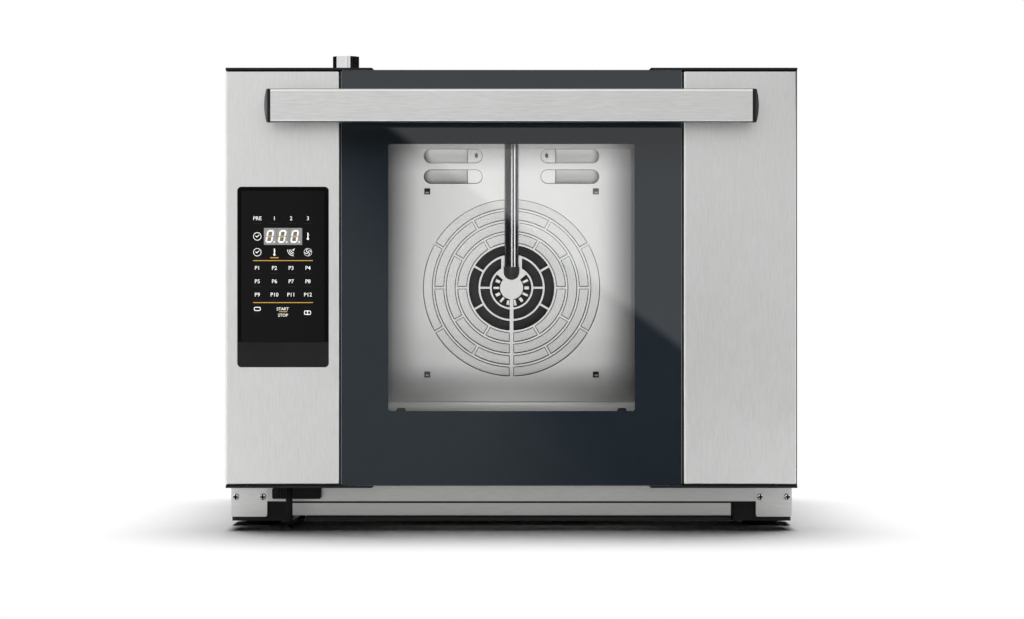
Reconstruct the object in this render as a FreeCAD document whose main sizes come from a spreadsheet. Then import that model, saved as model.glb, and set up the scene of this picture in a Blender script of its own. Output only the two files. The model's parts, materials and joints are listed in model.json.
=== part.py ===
import FreeCAD, Part
import math
import os
from types import SimpleNamespace

import Sketcher

# A countertop convection oven with a drop-down door. Millimetres; +Z is up, the door faces -Y,
# and the origin is on the worktop under the middle of the oven.

# Driving dimensions
DRIVING = {
    # casing
    "oven_width": 600,
    "body_depth": 530,
    "body_top": 480,
    "base_height": 26,
    "base_sheet": 1.5,
    "casing_sheet": 1.2,
    "fascia_top": 46,
    "tab_bottom": 9.5,
    "tab_width": 38.4,
    "tab_corner": 2,
    "skirt_bottom": 10.4,
    "skirt_gap": 2.5,
    "skirt_setback": 8,
    "skirt_flange": 15,
    "vent_length": 70,
    "vent_height": 4,
    "vent_rows": 9,
    "vent_reach": 104,
    "vent_bottom": 60,
    # feet
    "foot_width": 63,
    "foot_depth": 60,
    "foot_inset": 0.5,
    "foot_setback": 2,
    "foot_bottom": 5,
    "foot_corner": 3,
    "pad_radius": 20,
    "pad_taper": 2,
    # screws
    "screw_head": 3.5,
    "screw_head_height": 2.2,
    "screw_shank": 2,
    "screw_length": 8,
    "screw_clearance": 0.1,
    "screw_slot": 1,
    "fascia_screw_inner": 34,
    "fascia_screw_outer": 5,
    "fascia_screw_height": 31,
    "rear_screw_inset": 14,
    # door
    "door_bottom": 44,
    "door_top": 485,
    "door_depth": 58,
    "seal_gap": 12,
    "cap_thick": 2.3,
    "cap_overlap": 34.6,
    "cap_setback": 0.3,
    "glass_width": 358,
    "glass_thick": 5,
    "glass_setback": 0.5,
    "glass_gap": 1.8,
    "glass_corner": 2,
    "ledge_width": 15.8,
    "ledge_thick": 2.5,
    "skin_sheet": 1.2,
    "skin_fold": 5,
    "skin_margin": 1.3,
    "skin_inset": 1.6,
    "skin_edge": 1.5,
    "frame_wall": 2.5,
    "inner_sheet": 1.2,
    "inner_panel_margin": 2,
    "inner_window_width": 300,
    "inner_window_bottom": 122,
    "inner_window_top": 420,
    "inner_glass_thick": 4,
    "inner_glass_lap": 14,
    "clip_width": 10,
    "clip_height": 10,
    "clip_thick": 5,
    "clip_spacing": 235,
    "clip_drop": 0.5,
    "rail_height": 14,
    "rail_depth": 40,
    "rail_wall": 2,
    "light_width": 13,
    "light_depth": 12,
    "light_length": 270,
    # handle
    "handle_reach": 52,
    "handle_length": 498,
    "handle_height": 34.6,
    "handle_thick": 16,
    "handle_wall": 2,
    "handle_edge": 2.5,
    "handle_middle": 442.3,
    "handle_cap": 4,
    "handle_bulge": 2.5,
    "post_width": 24,
    "post_height": 20,
    "post_spacing": 450,
    "post_edge": 3,
    # control panel
    "panel_width": 95.4,
    "panel_height": 188.8,
    "panel_side": 12.6,
    "panel_bottom": 171,
    "panel_proud": 1.5,
    "panel_depth": 21.5,
    "panel_corner": 4,
    "panel_rim": 3.6,
    "panel_lip": 26,
    "panel_wall": 2.5,
    "panel_flange": 4,
    "panel_fit": 0.3,
    "touch_glass": 1.2,
    "touch_setback": 0.4,
    "display_width": 40,
    "display_height": 17.7,
    "display_left": 27.8,
    "display_drop": 43,
    "display_depth": 12,
    "display_setback": 0.1,
    "board_thick": 1.6,
    "board_margin": 3.5,
    # hinges
    "pivot_setback": 16,
    "pivot_height": 72,
    "pin_radius": 5,
    "pin_overhang": 1.5,
    "running_gap": 0.05,
    "bush_wall": 2,
    "arm_thick": 5,
    "arm_half": 9.5,
    "arm_edge": 21,
    "arm_gap": 1,
    "arm_web_start": 10,
    "arm_web_end": 60,
    "arm_foot_thick": 3,
    "arm_foot_side": 12,
    "cheek_thick": 3,
    "cheek_height": 12,
    "cheek_front": 8,
    "cheek_back": 12,
    "spring_room": 10,
    "bridge_thick": 4,
    "bridge_gap": 2,
    "spring_wire": 1.1,
    "spring_gap": 0.8,
    "spring_turns": 3,
    # control cable
    "cable_radius": 3.5,
    "cable_offset": 234.1,
    "cable_shift": 7.6,
    "cable_setback": 14,
    "cable_low": 4.3,
    "cable_run": 42,
    "cable_bend": 10,
    "cable_end": 40,
    "cable_fit": 0.5,
    "grommet_flange": 3,
    "grommet_thick": 2,
    "clip_block_width": 51.9,
    "clip_block_depth": 14.8,
    "clip_block_bottom": 29.3,
    "clip_block_top": 41,
    "clip_block_left": 21.2,
    "clip_block_groove": 1.5,
    # cavity
    "cavity_width": 480,
    "cavity_floor": 122.5,
    "cavity_ceiling": 438,
    "rear_room": 100,
    "cavity_corner": 20,
    "liner_sheet": 1,
    "insulation": 30,
    "rear_insulation": 25,
    "insulation_front": 8,
    "gasket_width": 14,
    "gasket_lap": 4,
    "gasket_edge": 4,
    "gasket_gap": 0.3,
    # fan guard
    "guard_standoff": 75,
    "guard_sheet": 1.2,
    "guard_width": 410,
    "guard_fold": 14,
    "guard_gap": 0.3,
    "guard_post_radius": 5,
    "fastener_size": 7,
    "fastener_height": 2,
    "fastener_shank": 2.4,
    "vane_slot_length": 69,
    "vane_slot_height": 16.5,
    "vane_slot_offset": 69,
    "vane_slot_upper": 412.8,
    "vane_slot_lower": 388.5,
    "ring_count": 7,
    "ring_first": 12.5,
    "ring_margin": -0.6,
    "ring_bar": 3,
    "centre_bar": 5,
    "guard_disc": 14.1,
    "pipe_block": 25,
    "stiffener_width": 104,
    "stiffener_bottom": 378,
    "stiffener_top": 424,
    "stiffener_standoff": 4,
    # fan and motor
    "fan_height": 257,
    "vane_zone": 52,
    "fan_clearance": 24,
    "fan_rim": 54,
    "fan_gap": 4,
    "fan_depth": 54,
    "fan_sheet": 1.5,
    "blade_count": 24,
    "blade_length": 43,
    "hub_radius": 14,
    "hub_length": 22,
    "nut_radius": 10,
    "nut_length": 9,
    "shaft_radius": 6,
    "motor_radius": 46,
    "motor_length": 62,
    "motor_wall": 3,
    "motor_standoff": 27,
    "bearing_radius": 14,
    "bearing_width": 8,
    "motor_plate_radius": 58,
    "motor_plate_thick": 2,
    "pillar_radius": 4,
    "pillar_circle": 37,
    "shaft_hole": 8,
    # heater and probe
    "heater_clearance": 11,
    "heater_radius": 4.2,
    "heater_first": 24,
    "heater_pitch": 20,
    "heater_bend": 14,
    "heater_gap_half_deg": 20,
    "heater_gap_step_deg": 10,
    "heater_tail": 15,
    "heater_fit": 0.4,
    "probe_radius": 2.5,
    "probe_offset": 222,
    "probe_height": 418,
    "probe_reach": 90,
    # steam
    "pipe_radius": 8.2,
    "pipe_wall": 1.2,
    "pipe_standoff": 21,
    "pipe_collar": 13,
    "pipe_collar_height": 8,
    "pipe_fit": 0.2,
    "nozzle_radius": 9.2,
    "nozzle_bottom": 266,
    "nozzle_top": 281.3,
    "tube_radius": 3,
    "tube_bend": 10,
    "tube_clearance": 5.5,
    "valve_width": 28,
    "valve_height": 28,
    "valve_depth": 30,
    "valve_middle": 440,
    "valve_thread": 13.2,
    "valve_bore": 8,
    "valve_neck": 11,
    "valve_fit": 0.4,
    "rear_reach": 17,
    # chimney
    "chimney_radius": 15,
    "chimney_wall": 1.4,
    "chimney_offset": 189.4,
    "chimney_setback": 230,
    "chimney_top": 520.3,
    "chimney_flange": 24,
    "chimney_flange_thick": 1.5,
    "chimney_fit": 0.5,
    # tray racks
    "wire_radius": 3,
    "rack_front": 40,
    "rack_back": 130,
    "rack_overhang": 10,
    "rack_inset": 4.5,
    "runner_inset": 18,
    "tray_levels": 4,
    "tray_pitch": 75,
    "tray_first": 28,
    "rack_foot": 2,
    "rack_head": 2,
    # electrics
    "power_width": 170,
    "power_depth": 140,
    "power_left": 60,
    "power_setback": 260,
    "power_standoff": 10,
    "power_corner": 12,
    "gland_offset": 200,
    "gland_height": 60,
    "gland_radius": 11,
    "gland_thread": 8,
    "gland_bore": 6,
    "gland_reach": 15,
    "gland_nut": 6,
    "gland_fit": 0.2,
}

# How far a cutting tool runs past the face that it cuts
OVERCUT = 1.0

doc = FreeCAD.newDocument("convection_oven")
dims = doc.addObject("Spreadsheet::Sheet", "dims")
for row, (alias, value) in enumerate(DRIVING.items(), 1):
    dims.set(f"A{row}", alias)
    dims.set(f"B{row}", str(value))
    dims.setAlias(f"B{row}", alias)
doc.recompute()


class Size:
    """A size worked out from the sheet: the expression that gives it, and its value."""

    def __init__(self, text, value):
        self.text = text
        self.value = value

    def _join(self, sign, other, value):
        return Size(f"({self.text} {sign} {other.text})", value)

    def __add__(self, other):
        return self._join("+", size(other), self.value + size(other).value)

    def __radd__(self, other):
        return size(other) + self

    def __sub__(self, other):
        return self._join("-", size(other), self.value - size(other).value)

    def __rsub__(self, other):
        return size(other) - self

    def __mul__(self, other):
        return self._join("*", size(other), self.value * size(other).value)

    def __rmul__(self, other):
        return size(other) * self

    def __truediv__(self, other):
        return self._join("/", size(other), self.value / size(other).value)

    def __neg__(self):
        return Size(f"(0 - {self.text})", -self.value)


def size(given):
    """A plain number as a Size; a Size as it is."""
    if isinstance(given, Size):
        return given
    return Size(f"({float(given):.9g})", float(given))


def lesser(first, second):
    """The smaller of two sizes."""
    return Size(f"min({first.text}; {second.text})", min(first.value, second.value))


d = SimpleNamespace(**{a: Size(f"dims.{a}", float(getattr(dims, a))) for a in DRIVING})


# Building blocks

AXES = {
    "x": FreeCAD.Vector(1, 0, 0),
    "y": FreeCAD.Vector(0, 1, 0),
    "z": FreeCAD.Vector(0, 0, 1),
}
TURN_FROM_Z = {
    "x": FreeCAD.Rotation(AXES["y"], 90),
    "y": FreeCAD.Rotation(AXES["x"], -90),
    "z": FreeCAD.Rotation(),
}


def bind(thing, prop, given):
    """Ties a property of a document object to an expression on the sheet."""
    thing.setExpression(prop, size(given).text)


def box(label, x, y, z):
    """A block between the two ends given on each axis."""
    solid = doc.addObject("Part::Box", label)
    for prop, axis, (low, high) in zip(("Length", "Width", "Height"), "xyz", (x, y, z)):
        bind(solid, prop, size(high) - low)
        bind(solid, f"Placement.Base.{axis}", low)
    return solid


def round_bar(label, axis, radius, ends, centre, kind="Part::Cylinder", far_radius=None):
    """A cylinder or cone along an axis; centre is its place on the other two, in X, Y, Z order."""
    solid = doc.addObject(kind, label)
    solid.Placement = FreeCAD.Placement(FreeCAD.Vector(), TURN_FROM_Z[axis])
    if kind == "Part::Cone":
        bind(solid, "Radius1", radius)
        bind(solid, "Radius2", far_radius)
    else:
        bind(solid, "Radius", radius)
    bind(solid, "Height", size(ends[1]) - ends[0])
    others = iter(centre)
    for name in "xyz":
        bind(solid, f"Placement.Base.{name}", ends[0] if name == axis else next(others))
    return solid


def ball(label, radius, x, y, z):
    """A sphere."""
    solid = doc.addObject("Part::Sphere", label)
    bind(solid, "Radius", radius)
    for name, place in zip("xyz", (x, y, z)):
        bind(solid, f"Placement.Base.{name}", place)
    return solid


def fuse(label, *solids):
    """One solid from several that meet."""
    made = doc.addObject("Part::MultiFuse", label)
    made.Shapes = list(solids)
    return made


def cut(label, base, *tools):
    """The base without the tools."""
    made = doc.addObject("Part::Cut", label)
    made.Base = base
    made.Tool = tools[0] if len(tools) == 1 else fuse(f"{label}_tools", *tools)
    return made


def common(label, first, second):
    """What two solids share."""
    made = doc.addObject("Part::Common", label)
    made.Base = first
    made.Tool = second
    return made


def group(label, solids):
    """Separate solids that share one node."""
    made = doc.addObject("Part::Compound", label)
    made.Links = list(solids)
    return made


def ring(label, axis, outer, inner, ends, centre):
    """A tube along an axis."""
    bore_ends = (size(ends[0]) - OVERCUT, size(ends[1]) + OVERCUT)
    return cut(
        label,
        round_bar(f"{label}_blank", axis, outer, ends, centre),
        round_bar(f"{label}_bore", axis, inner, bore_ends, centre),
    )


def runs_along(axis):
    """A test for straight edges along an axis."""

    def test(edge):
        if not isinstance(edge.Curve, Part.Line):
            return False
        return abs(edge.tangentAt(edge.FirstParameter).dot(AXES[axis])) > 0.999

    return test


def lies_at(axis, place):
    """A test for edges that lie in a plane across an axis."""

    def test(edge):
        here = size(place).value
        return all(abs(v.Point.dot(AXES[axis]) - here) < 1e-4 for v in edge.Vertexes)

    return test


def numbered_edges(shape, *tests):
    """The numbers of a shape's edges that pass every test."""
    return [n for n, e in enumerate(shape.Edges, 1) if all(test(e) for test in tests)]


def soften(label, base, radius, *tests, kind="Part::Fillet"):
    """Rounds or chamfers the edges of the base that pass every test."""
    doc.recompute()
    made = doc.addObject(kind, label)
    made.Base = base
    reach = size(radius).value
    made.Edges = [(n, reach, reach) for n in numbered_edges(base.Shape, *tests)]
    return made


def mirrored(side, inner, outer):
    """The X range from inner to outer on the left (-1) or the right (1)."""
    return (inner, outer) if side > 0 else (-size(outer), -size(inner))


def beyond(ends):
    """A range with the overcut added at both ends."""
    return (size(ends[0]) - OVERCUT, size(ends[1]) + OVERCUT)


# Feature-based bodies: sketches, pads and pockets


def sketch_on(body, role, offset=0):
    """A sketch on one of the body's origin planes, moved along the plane's normal."""
    made = body.newObject("Sketcher::SketchObject", f"{body.Name}_sketch")
    plane = next(f for f in body.Origin.OriginFeatures if f.Role == role)
    made.AttachmentSupport = [(plane, "")]
    made.MapMode = "FlatFace"
    bind(made, "AttachmentOffset.Base.z", offset)
    return made


def hold_point(sketch, geometry, point, u, v):
    """Fixes a point of a sketch at a place given by the sheet."""
    for kind, place in (("DistanceX", u), ("DistanceY", v)):
        constraint = Sketcher.Constraint(kind, -1, 1, geometry, point, size(place).value)
        bind(sketch, f"Constraints[{sketch.addConstraint(constraint)}]", place)


def draw_outline(sketch, points):
    """A closed outline of straight lines through the given points."""
    first = sketch.GeometryCount
    places = [FreeCAD.Vector(size(u).value, size(v).value, 0) for u, v in points]
    count = len(points)
    for n in range(count):
        sketch.addGeometry(Part.LineSegment(places[n], places[(n + 1) % count]), False)
    for n in range(count):
        sketch.addConstraint(
            Sketcher.Constraint("Coincident", first + n, 2, first + (n + 1) % count, 1)
        )
    for n, (u, v) in enumerate(points):
        hold_point(sketch, first + n, 1, u, v)


def draw_rectangle(sketch, u, v):
    """A rectangle between the two ends given on each sketch axis."""
    draw_outline(sketch, [(u[0], v[0]), (u[1], v[0]), (u[1], v[1]), (u[0], v[1])])


def draw_circle(sketch, u, v, radius):
    """A circle."""
    place = FreeCAD.Vector(size(u).value, size(v).value, 0)
    number = sketch.addGeometry(Part.Circle(place, AXES["z"], size(radius).value), False)
    hold_point(sketch, number, 3, u, v)
    constraint = Sketcher.Constraint("Radius", number, size(radius).value)
    bind(sketch, f"Constraints[{sketch.addConstraint(constraint)}]", radius)


def add_feature(body, kind, sketch, length, backwards=False):
    """A pad or pocket of a sketch, with its length tied to the sheet."""
    made = body.newObject(f"PartDesign::{kind}", f"{body.Name}_{kind.lower()}")
    made.Profile = sketch
    bind(made, "Length", length)
    made.Reversed = backwards
    doc.recompute()
    return made


def add_fillet(body, radius, *tests):
    """A fillet on the body's edges that pass every test."""
    doc.recompute()
    tip = body.Tip
    made = body.newObject("PartDesign::Fillet", f"{body.Name}_fillet")
    made.Base = (tip, [f"Edge{n}" for n in numbered_edges(tip.Shape, *tests)])
    bind(made, "Radius", radius)
    doc.recompute()
    return made


def add_row(body, original, sketch, axis_name, length, count):
    """Copies of a feature in a row along a sketch axis."""
    made = body.newObject("PartDesign::LinearPattern", f"{body.Name}_row")
    made.Originals = [original]
    made.Direction = (sketch, [axis_name])
    bind(made, "Length", length)
    bind(made, "Occurrences", count)
    body.Tip = made
    doc.recompute()
    return made


# Bent tubes


def bent_path(points, radius):
    """A wire of straight runs joined by tangent arcs, and its length."""
    edges = []
    start = points[0]
    for before, corner, after in zip(points, points[1:], points[2:]):
        inward = (corner - before).normalize()
        outward = (after - corner).normalize()
        turn = inward.getAngle(outward)
        back_off = radius * math.tan(turn / 2)
        leave, join = corner - inward * back_off, corner + outward * back_off
        to_centre = (outward - inward).normalize()
        middle = corner + to_centre * (radius / math.cos(turn / 2) - radius)
        edges.append(Part.LineSegment(start, leave).toShape())
        edges.append(Part.Arc(leave, middle, join).toShape())
        start = join
    edges.append(Part.LineSegment(start, points[-1]).toShape())
    return Part.Wire(edges)


def swept_tube(path, radius):
    """A round bar along a wire, with its volume compared with section times length."""
    start = path.Edges[0]
    along = start.tangentAt(start.FirstParameter)
    circle = Part.Circle(start.valueAt(start.FirstParameter), along, radius).toShape()
    shell = Part.BRepOffsetAPI.MakePipeShell(path)
    shell.add(Part.Wire(circle), False, False)
    shell.build()
    shell.makeSolid()
    tube = shell.shape()
    expected = math.pi * radius**2 * path.Length
    print(f"tube of {path.Length:.1f} mm: volume is {tube.Volume / expected:.4f} of section times length")
    return tube


def shaped(label, shape):
    """A document object that holds a ready shape."""
    made = doc.addObject("Part::Feature", label)
    made.Shape = shape
    return made


def point(x, y, z):
    """A point in space from sizes."""
    return FreeCAD.Vector(size(x).value, size(y).value, size(z).value)


# Main planes and places

half_width = d.oven_width / 2
inside_half = half_width - d.casing_sheet
door_front = (d.handle_reach - d.door_depth - d.seal_gap - d.body_depth - d.rear_reach) / 2
door_back = door_front + d.door_depth
body_front = door_back + d.seal_gap
body_back = body_front + d.body_depth
base_top = d.base_height + d.base_sheet
frame_front = door_front + d.skin_fold
frame_back = door_back - d.inner_sheet
pane_bottom = d.door_bottom + d.cap_thick
pane_top = d.door_top - d.cap_thick
glass_half = d.glass_width / 2
glass_back = door_front + d.glass_setback + d.glass_thick
frame_inner = glass_half + d.glass_gap
ledge_inner = frame_inner - d.ledge_width
pivot_y = door_front + d.pivot_setback
arm_outer = half_width - d.arm_edge
arm_inner = arm_outer - d.arm_thick
cavity_half = d.cavity_width / 2
cavity_front = body_front + d.casing_sheet
cavity_back = body_back - d.rear_room
rear_wall_back = cavity_back + d.liner_sheet
guard_front = cavity_back - d.guard_standoff
guard_back = guard_front + d.guard_sheet
fan_room = lesser(d.fan_height - d.cavity_floor, d.cavity_ceiling - d.vane_zone - d.fan_height)
fan_radius = fan_room - d.fan_clearance
fan_eye = fan_radius - d.fan_rim
blade_inner = fan_radius - d.blade_length
heater_circle = fan_room - d.heater_clearance
ring_pitch = (fan_radius + d.ring_margin - d.ring_first) / (d.ring_count - 0.22)
ring_slot = 0.78 * ring_pitch
fan_front = guard_back + d.fan_gap
fan_back = fan_front + d.fan_depth
motor_front = rear_wall_back + d.motor_plate_thick + d.motor_standoff
motor_back = motor_front + d.motor_length
pipe_y = guard_front - d.pipe_standoff
chimney_x = -d.chimney_offset
chimney_y = body_front + d.chimney_setback
cable_x = -d.cable_offset
cable_y = door_front + d.cable_setback
cable_end_x = cable_x + d.cable_shift
cable_end_y = body_front + d.cable_run
valve_y = body_back - d.casing_sheet
foot_inner = half_width - d.foot_inset - d.foot_width
SIDES = (-1, 1)
SIDE_NAME = {-1: "left", 1: "right"}


# Base, casing and feet


def outwards(face_y, outward, near, far):
    """The Y range from near to far outside a face; outward is -1 or 1 along Y."""
    ends = (face_y + outward * size(near), face_y + outward * size(far))
    return ends if outward > 0 else ends[::-1]


def pan_screw(label, x, face_y, z, outward):
    """A pan-head screw along Y, with a crosshead."""
    head_y = outwards(face_y, outward, 0, d.screw_head_height)
    head = round_bar(f"{label}_head", "y", d.screw_head, head_y, (x, z))
    top_y = face_y + outward * d.screw_head_height
    rounded = soften(f"{label}_dome", head, d.screw_head_height / 2, lies_at("y", top_y))
    shank_y = outwards(face_y, outward, -d.screw_length, 0)
    shank = round_bar(f"{label}_shank", "y", d.screw_shank, shank_y, (x, z))
    slot_y = outwards(face_y, outward, d.screw_head_height / 2, d.screw_head_height * 2)
    reach, half_slot = d.screw_head * 0.6, d.screw_slot / 2
    across = box(f"{label}_slot_x", (x - reach, x + reach), slot_y, (z - half_slot, z + half_slot))
    upright = box(f"{label}_slot_z", (x - half_slot, x + half_slot), slot_y, (z - reach, z + reach))
    return cut(label, fuse(f"{label}_blank", rounded, shank), across, upright)


def fascia_screw_places():
    """X places of the four screws on the front fascia."""
    return [s * (half_width - inset) for s in SIDES for inset in (d.fascia_screw_inner, d.fascia_screw_outer)]


def rear_screw_places():
    """X and Z places of the screws on the rear panel."""
    heights = (
        base_top + d.rear_screw_inset,
        (base_top + d.body_top) / 2,
        d.body_top - d.rear_screw_inset,
    )
    return [(s * (half_width - d.rear_screw_inset), z) for s in SIDES for z in heights]


def screw_hole(label, x, z, ends):
    """A clearance hole for a screw, along Y."""
    return round_bar(label, "y", d.screw_shank + d.screw_clearance, ends, (x, z))


def base_plate():
    """Floor of the casing with a turned-up front lip."""
    x = (-inside_half, inside_half)
    floor = box("base_floor", x, (body_front, body_back - d.casing_sheet), (d.base_height, base_top))
    lip = box("base_lip", x, (body_front, body_front + d.casing_sheet), (base_top, d.fascia_top))
    lip_y = beyond((body_front, body_front + d.casing_sheet))
    holes = [screw_hole("base_screw_hole", x, d.fascia_screw_height, lip_y) for x in fascia_screw_places()]
    holes.append(
        round_bar(
            "base_cable_hole",
            "z",
            grommet_neck,
            beyond((d.base_height, base_top)),
            (cable_end_x, cable_end_y),
        )
    )
    return cut("base_plate", fuse("base_blank", floor, lip), *holes)


def base_skirt():
    """Angle strip under the front of the base, between the feet."""
    half = foot_inner - OVERCUT
    front = body_front + d.skirt_setback
    back = front + d.casing_sheet
    top = d.base_height - d.skirt_gap
    face = box("skirt_face", (-half, half), (front, back), (d.skirt_bottom, top))
    flange_y = (back, back + d.skirt_flange)
    flange = box("skirt_flange", (-half, half), flange_y, (top - d.casing_sheet, top))
    riser_y = (flange_y[1] - d.casing_sheet, flange_y[1])
    riser = box("skirt_riser", (-half, half), riser_y, (top, d.base_height))
    return fuse("base_skirt", face, flange, riser)


def front_fascia():
    """Strip under the door, with a plate over it at each corner that hides the front foot."""
    strip_y = (body_front - d.casing_sheet, body_front)
    plate_y = (strip_y[0] - d.casing_sheet, strip_y[0])
    hole_y = beyond((plate_y[0], strip_y[1]))
    holes = [screw_hole("fascia_hole", x, d.fascia_screw_height, hole_y) for x in fascia_screw_places()]
    strip = box("fascia_strip", (-half_width, half_width), strip_y, (d.base_height, d.fascia_top))
    sheets = [cut("fascia_strip_bored", strip, *holes)]
    for side in SIDES:
        x = mirrored(side, half_width - d.tab_width, half_width)
        plate = box("corner_plate_blank", x, plate_y, (d.tab_bottom, d.fascia_top))
        eased = soften("corner_plate", plate, d.tab_corner, runs_along("y"), lies_at("z", d.tab_bottom))
        sheets.append(cut("corner_plate_bored", eased, *holes))
    return group("front_fascia", sheets)


def casing_screws():
    """Screws that hold the fascia and the rear panel."""
    front_y = body_front - 2 * d.casing_sheet
    front = [pan_screw("fascia_screw", x, front_y, d.fascia_screw_height, -1) for x in fascia_screw_places()]
    rear = [pan_screw("rear_screw", x, body_back, z, 1) for x, z in rear_screw_places()]
    return group("casing_screws", front + rear)


def side_panel(side):
    """Side sheet of the casing with a bank of cooling slots near the back."""
    body = doc.addObject("PartDesign::Body", f"side_panel_{SIDE_NAME[side]}")
    outer_first = mirrored(side, inside_half, half_width)[0]
    outline = sketch_on(body, "YZ_Plane", outer_first)
    draw_rectangle(outline, (body_front, body_back), (d.base_height, d.body_top))
    add_feature(body, "Pad", outline, d.casing_sheet)
    slot = sketch_on(body, "YZ_Plane", outer_first)
    slot_end = body_back - (d.vent_reach - d.vent_length) / 2
    slot_z = (d.vent_bottom, d.vent_bottom + d.vent_height)
    draw_rectangle(slot, (slot_end - d.vent_length, slot_end), slot_z)
    pocket = add_feature(body, "Pocket", slot, d.casing_sheet, backwards=True)
    add_row(body, pocket, slot, "V_Axis", vent_span, d.vent_rows)
    return body


def rear_panel():
    """Rear sheet of the casing with cooling slots and holes for the services."""
    body = doc.addObject("PartDesign::Body", "rear_panel")
    outline = sketch_on(body, "XZ_Plane", -(body_back - d.casing_sheet))
    draw_rectangle(outline, (-inside_half, inside_half), (base_top, d.body_top - d.casing_sheet))
    add_feature(body, "Pad", outline, d.casing_sheet, backwards=True)
    holes = sketch_on(body, "XZ_Plane", -(body_back - d.casing_sheet))
    draw_circle(holes, d.gland_offset, d.gland_height, d.gland_thread + d.gland_fit)
    draw_circle(holes, 0, d.valve_middle, d.valve_neck + d.valve_fit)
    for x, z in rear_screw_places():
        draw_circle(holes, x, z, d.screw_shank + d.screw_clearance)
    add_feature(body, "Pocket", holes, d.casing_sheet)
    slots = sketch_on(body, "XZ_Plane", -(body_back - d.casing_sheet))
    slot_z = (d.fan_height - vent_span / 2, d.fan_height - vent_span / 2 + d.vent_height)
    for side in SIDES:
        draw_rectangle(slots, mirrored(side, d.vent_height, d.vent_height + d.vent_length), slot_z)
    pocket = add_feature(body, "Pocket", slots, d.casing_sheet)
    add_row(body, pocket, slots, "V_Axis", vent_span, d.vent_rows)
    return body


def top_panel():
    """Top sheet of the casing, with the hole for the chimney."""
    z = (d.body_top - d.casing_sheet, d.body_top)
    sheet = box("top_sheet", (-inside_half, inside_half), (body_front, body_back), z)
    hole_radius = d.chimney_radius + d.chimney_fit
    hole = round_bar("top_hole", "z", hole_radius, beyond(z), (chimney_x, chimney_y))
    return cut("top_panel", sheet, hole)


def foot_places():
    """X and Y ranges of the four corner feet."""
    front = body_front + d.foot_setback
    back = body_back - d.foot_setback
    outer = half_width - d.foot_inset
    for side in SIDES:
        for y in ((front, front + d.foot_depth), (back - d.foot_depth, back)):
            yield mirrored(side, foot_inner, outer), y


def corner_feet():
    """Moulded blocks under the corners of the base."""
    blocks = []
    for x, y in foot_places():
        block = box("foot_block", x, y, (d.foot_bottom, d.base_height))
        blocks.append(soften("foot", block, d.foot_corner, runs_along("z")))
    return group("corner_feet", blocks)


def foot_pads():
    """Rubber discs that stand on the worktop."""
    pads = []
    for x, y in foot_places():
        centre = ((x[0] + x[1]) / 2, (y[0] + y[1]) / 2)
        pads.append(
            round_bar(
                "pad",
                "z",
                d.pad_radius - d.pad_taper,
                (0, d.foot_bottom),
                centre,
                kind="Part::Cone",
                far_radius=d.pad_radius,
            )
        )
    return group("foot_pads", pads)


def cable_gland():
    """Gland for the mains lead, through the rear panel."""
    at = (d.gland_offset, d.gland_height)
    inside = body_back - d.casing_sheet
    nut = round_bar("gland_nut", "y", d.gland_radius, (inside - d.gland_nut, inside), at)
    thread = round_bar("gland_thread", "y", d.gland_thread, (inside, body_back), at)
    cap = round_bar("gland_cap", "y", d.gland_radius, (body_back, body_back + d.gland_reach), at)
    bore_y = beyond((inside - d.gland_nut, body_back + d.gland_reach))
    bore = round_bar("gland_bore", "y", d.gland_bore, bore_y, at)
    return cut("cable_gland", fuse("gland_blank", nut, thread, cap), bore)


# Cavity


def rounded_block(label, x, y, z, radius):
    """A block with its four edges along Y rounded."""
    return soften(label, box(f"{label}_blank", x, y, z), radius, runs_along("y"))


def front_frame():
    """Front sheet of the body around the cavity mouth, slotted for the hinge arms."""
    y = (body_front, body_front + d.casing_sheet)
    sheet = box("front_sheet", (-inside_half, inside_half), y, (d.fascia_top, d.body_top - d.casing_sheet))
    mouth = rounded_block(
        "front_mouth",
        (-cavity_half, cavity_half),
        beyond(y),
        (d.cavity_floor, d.cavity_ceiling),
        d.cavity_corner,
    )
    reach = d.arm_half + d.arm_gap
    slot_z = (d.pivot_height - reach, d.pivot_height + reach)
    slots = [
        box("arm_slot", mirrored(side, arm_inner - d.arm_gap, arm_outer + d.arm_gap), beyond(y), slot_z)
        for side in SIDES
    ]
    return cut("front_frame", sheet, mouth, *slots)


def door_gasket():
    """Silicone seal around the cavity mouth."""
    y = (door_back + d.gasket_gap, body_front)
    inner, outer = d.gasket_lap, d.gasket_lap + d.gasket_width
    blank = rounded_block(
        "gasket_blank",
        (-cavity_half - outer, cavity_half + outer),
        y,
        (d.cavity_floor - outer, d.cavity_ceiling + outer),
        d.cavity_corner + outer,
    )
    mouth = rounded_block(
        "gasket_mouth",
        (-cavity_half - inner, cavity_half + inner),
        beyond(y),
        (d.cavity_floor - inner, d.cavity_ceiling + inner),
        d.cavity_corner + inner,
    )
    return soften("door_gasket", cut("gasket_ring", blank, mouth), d.gasket_edge, lies_at("y", y[0]))


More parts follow.
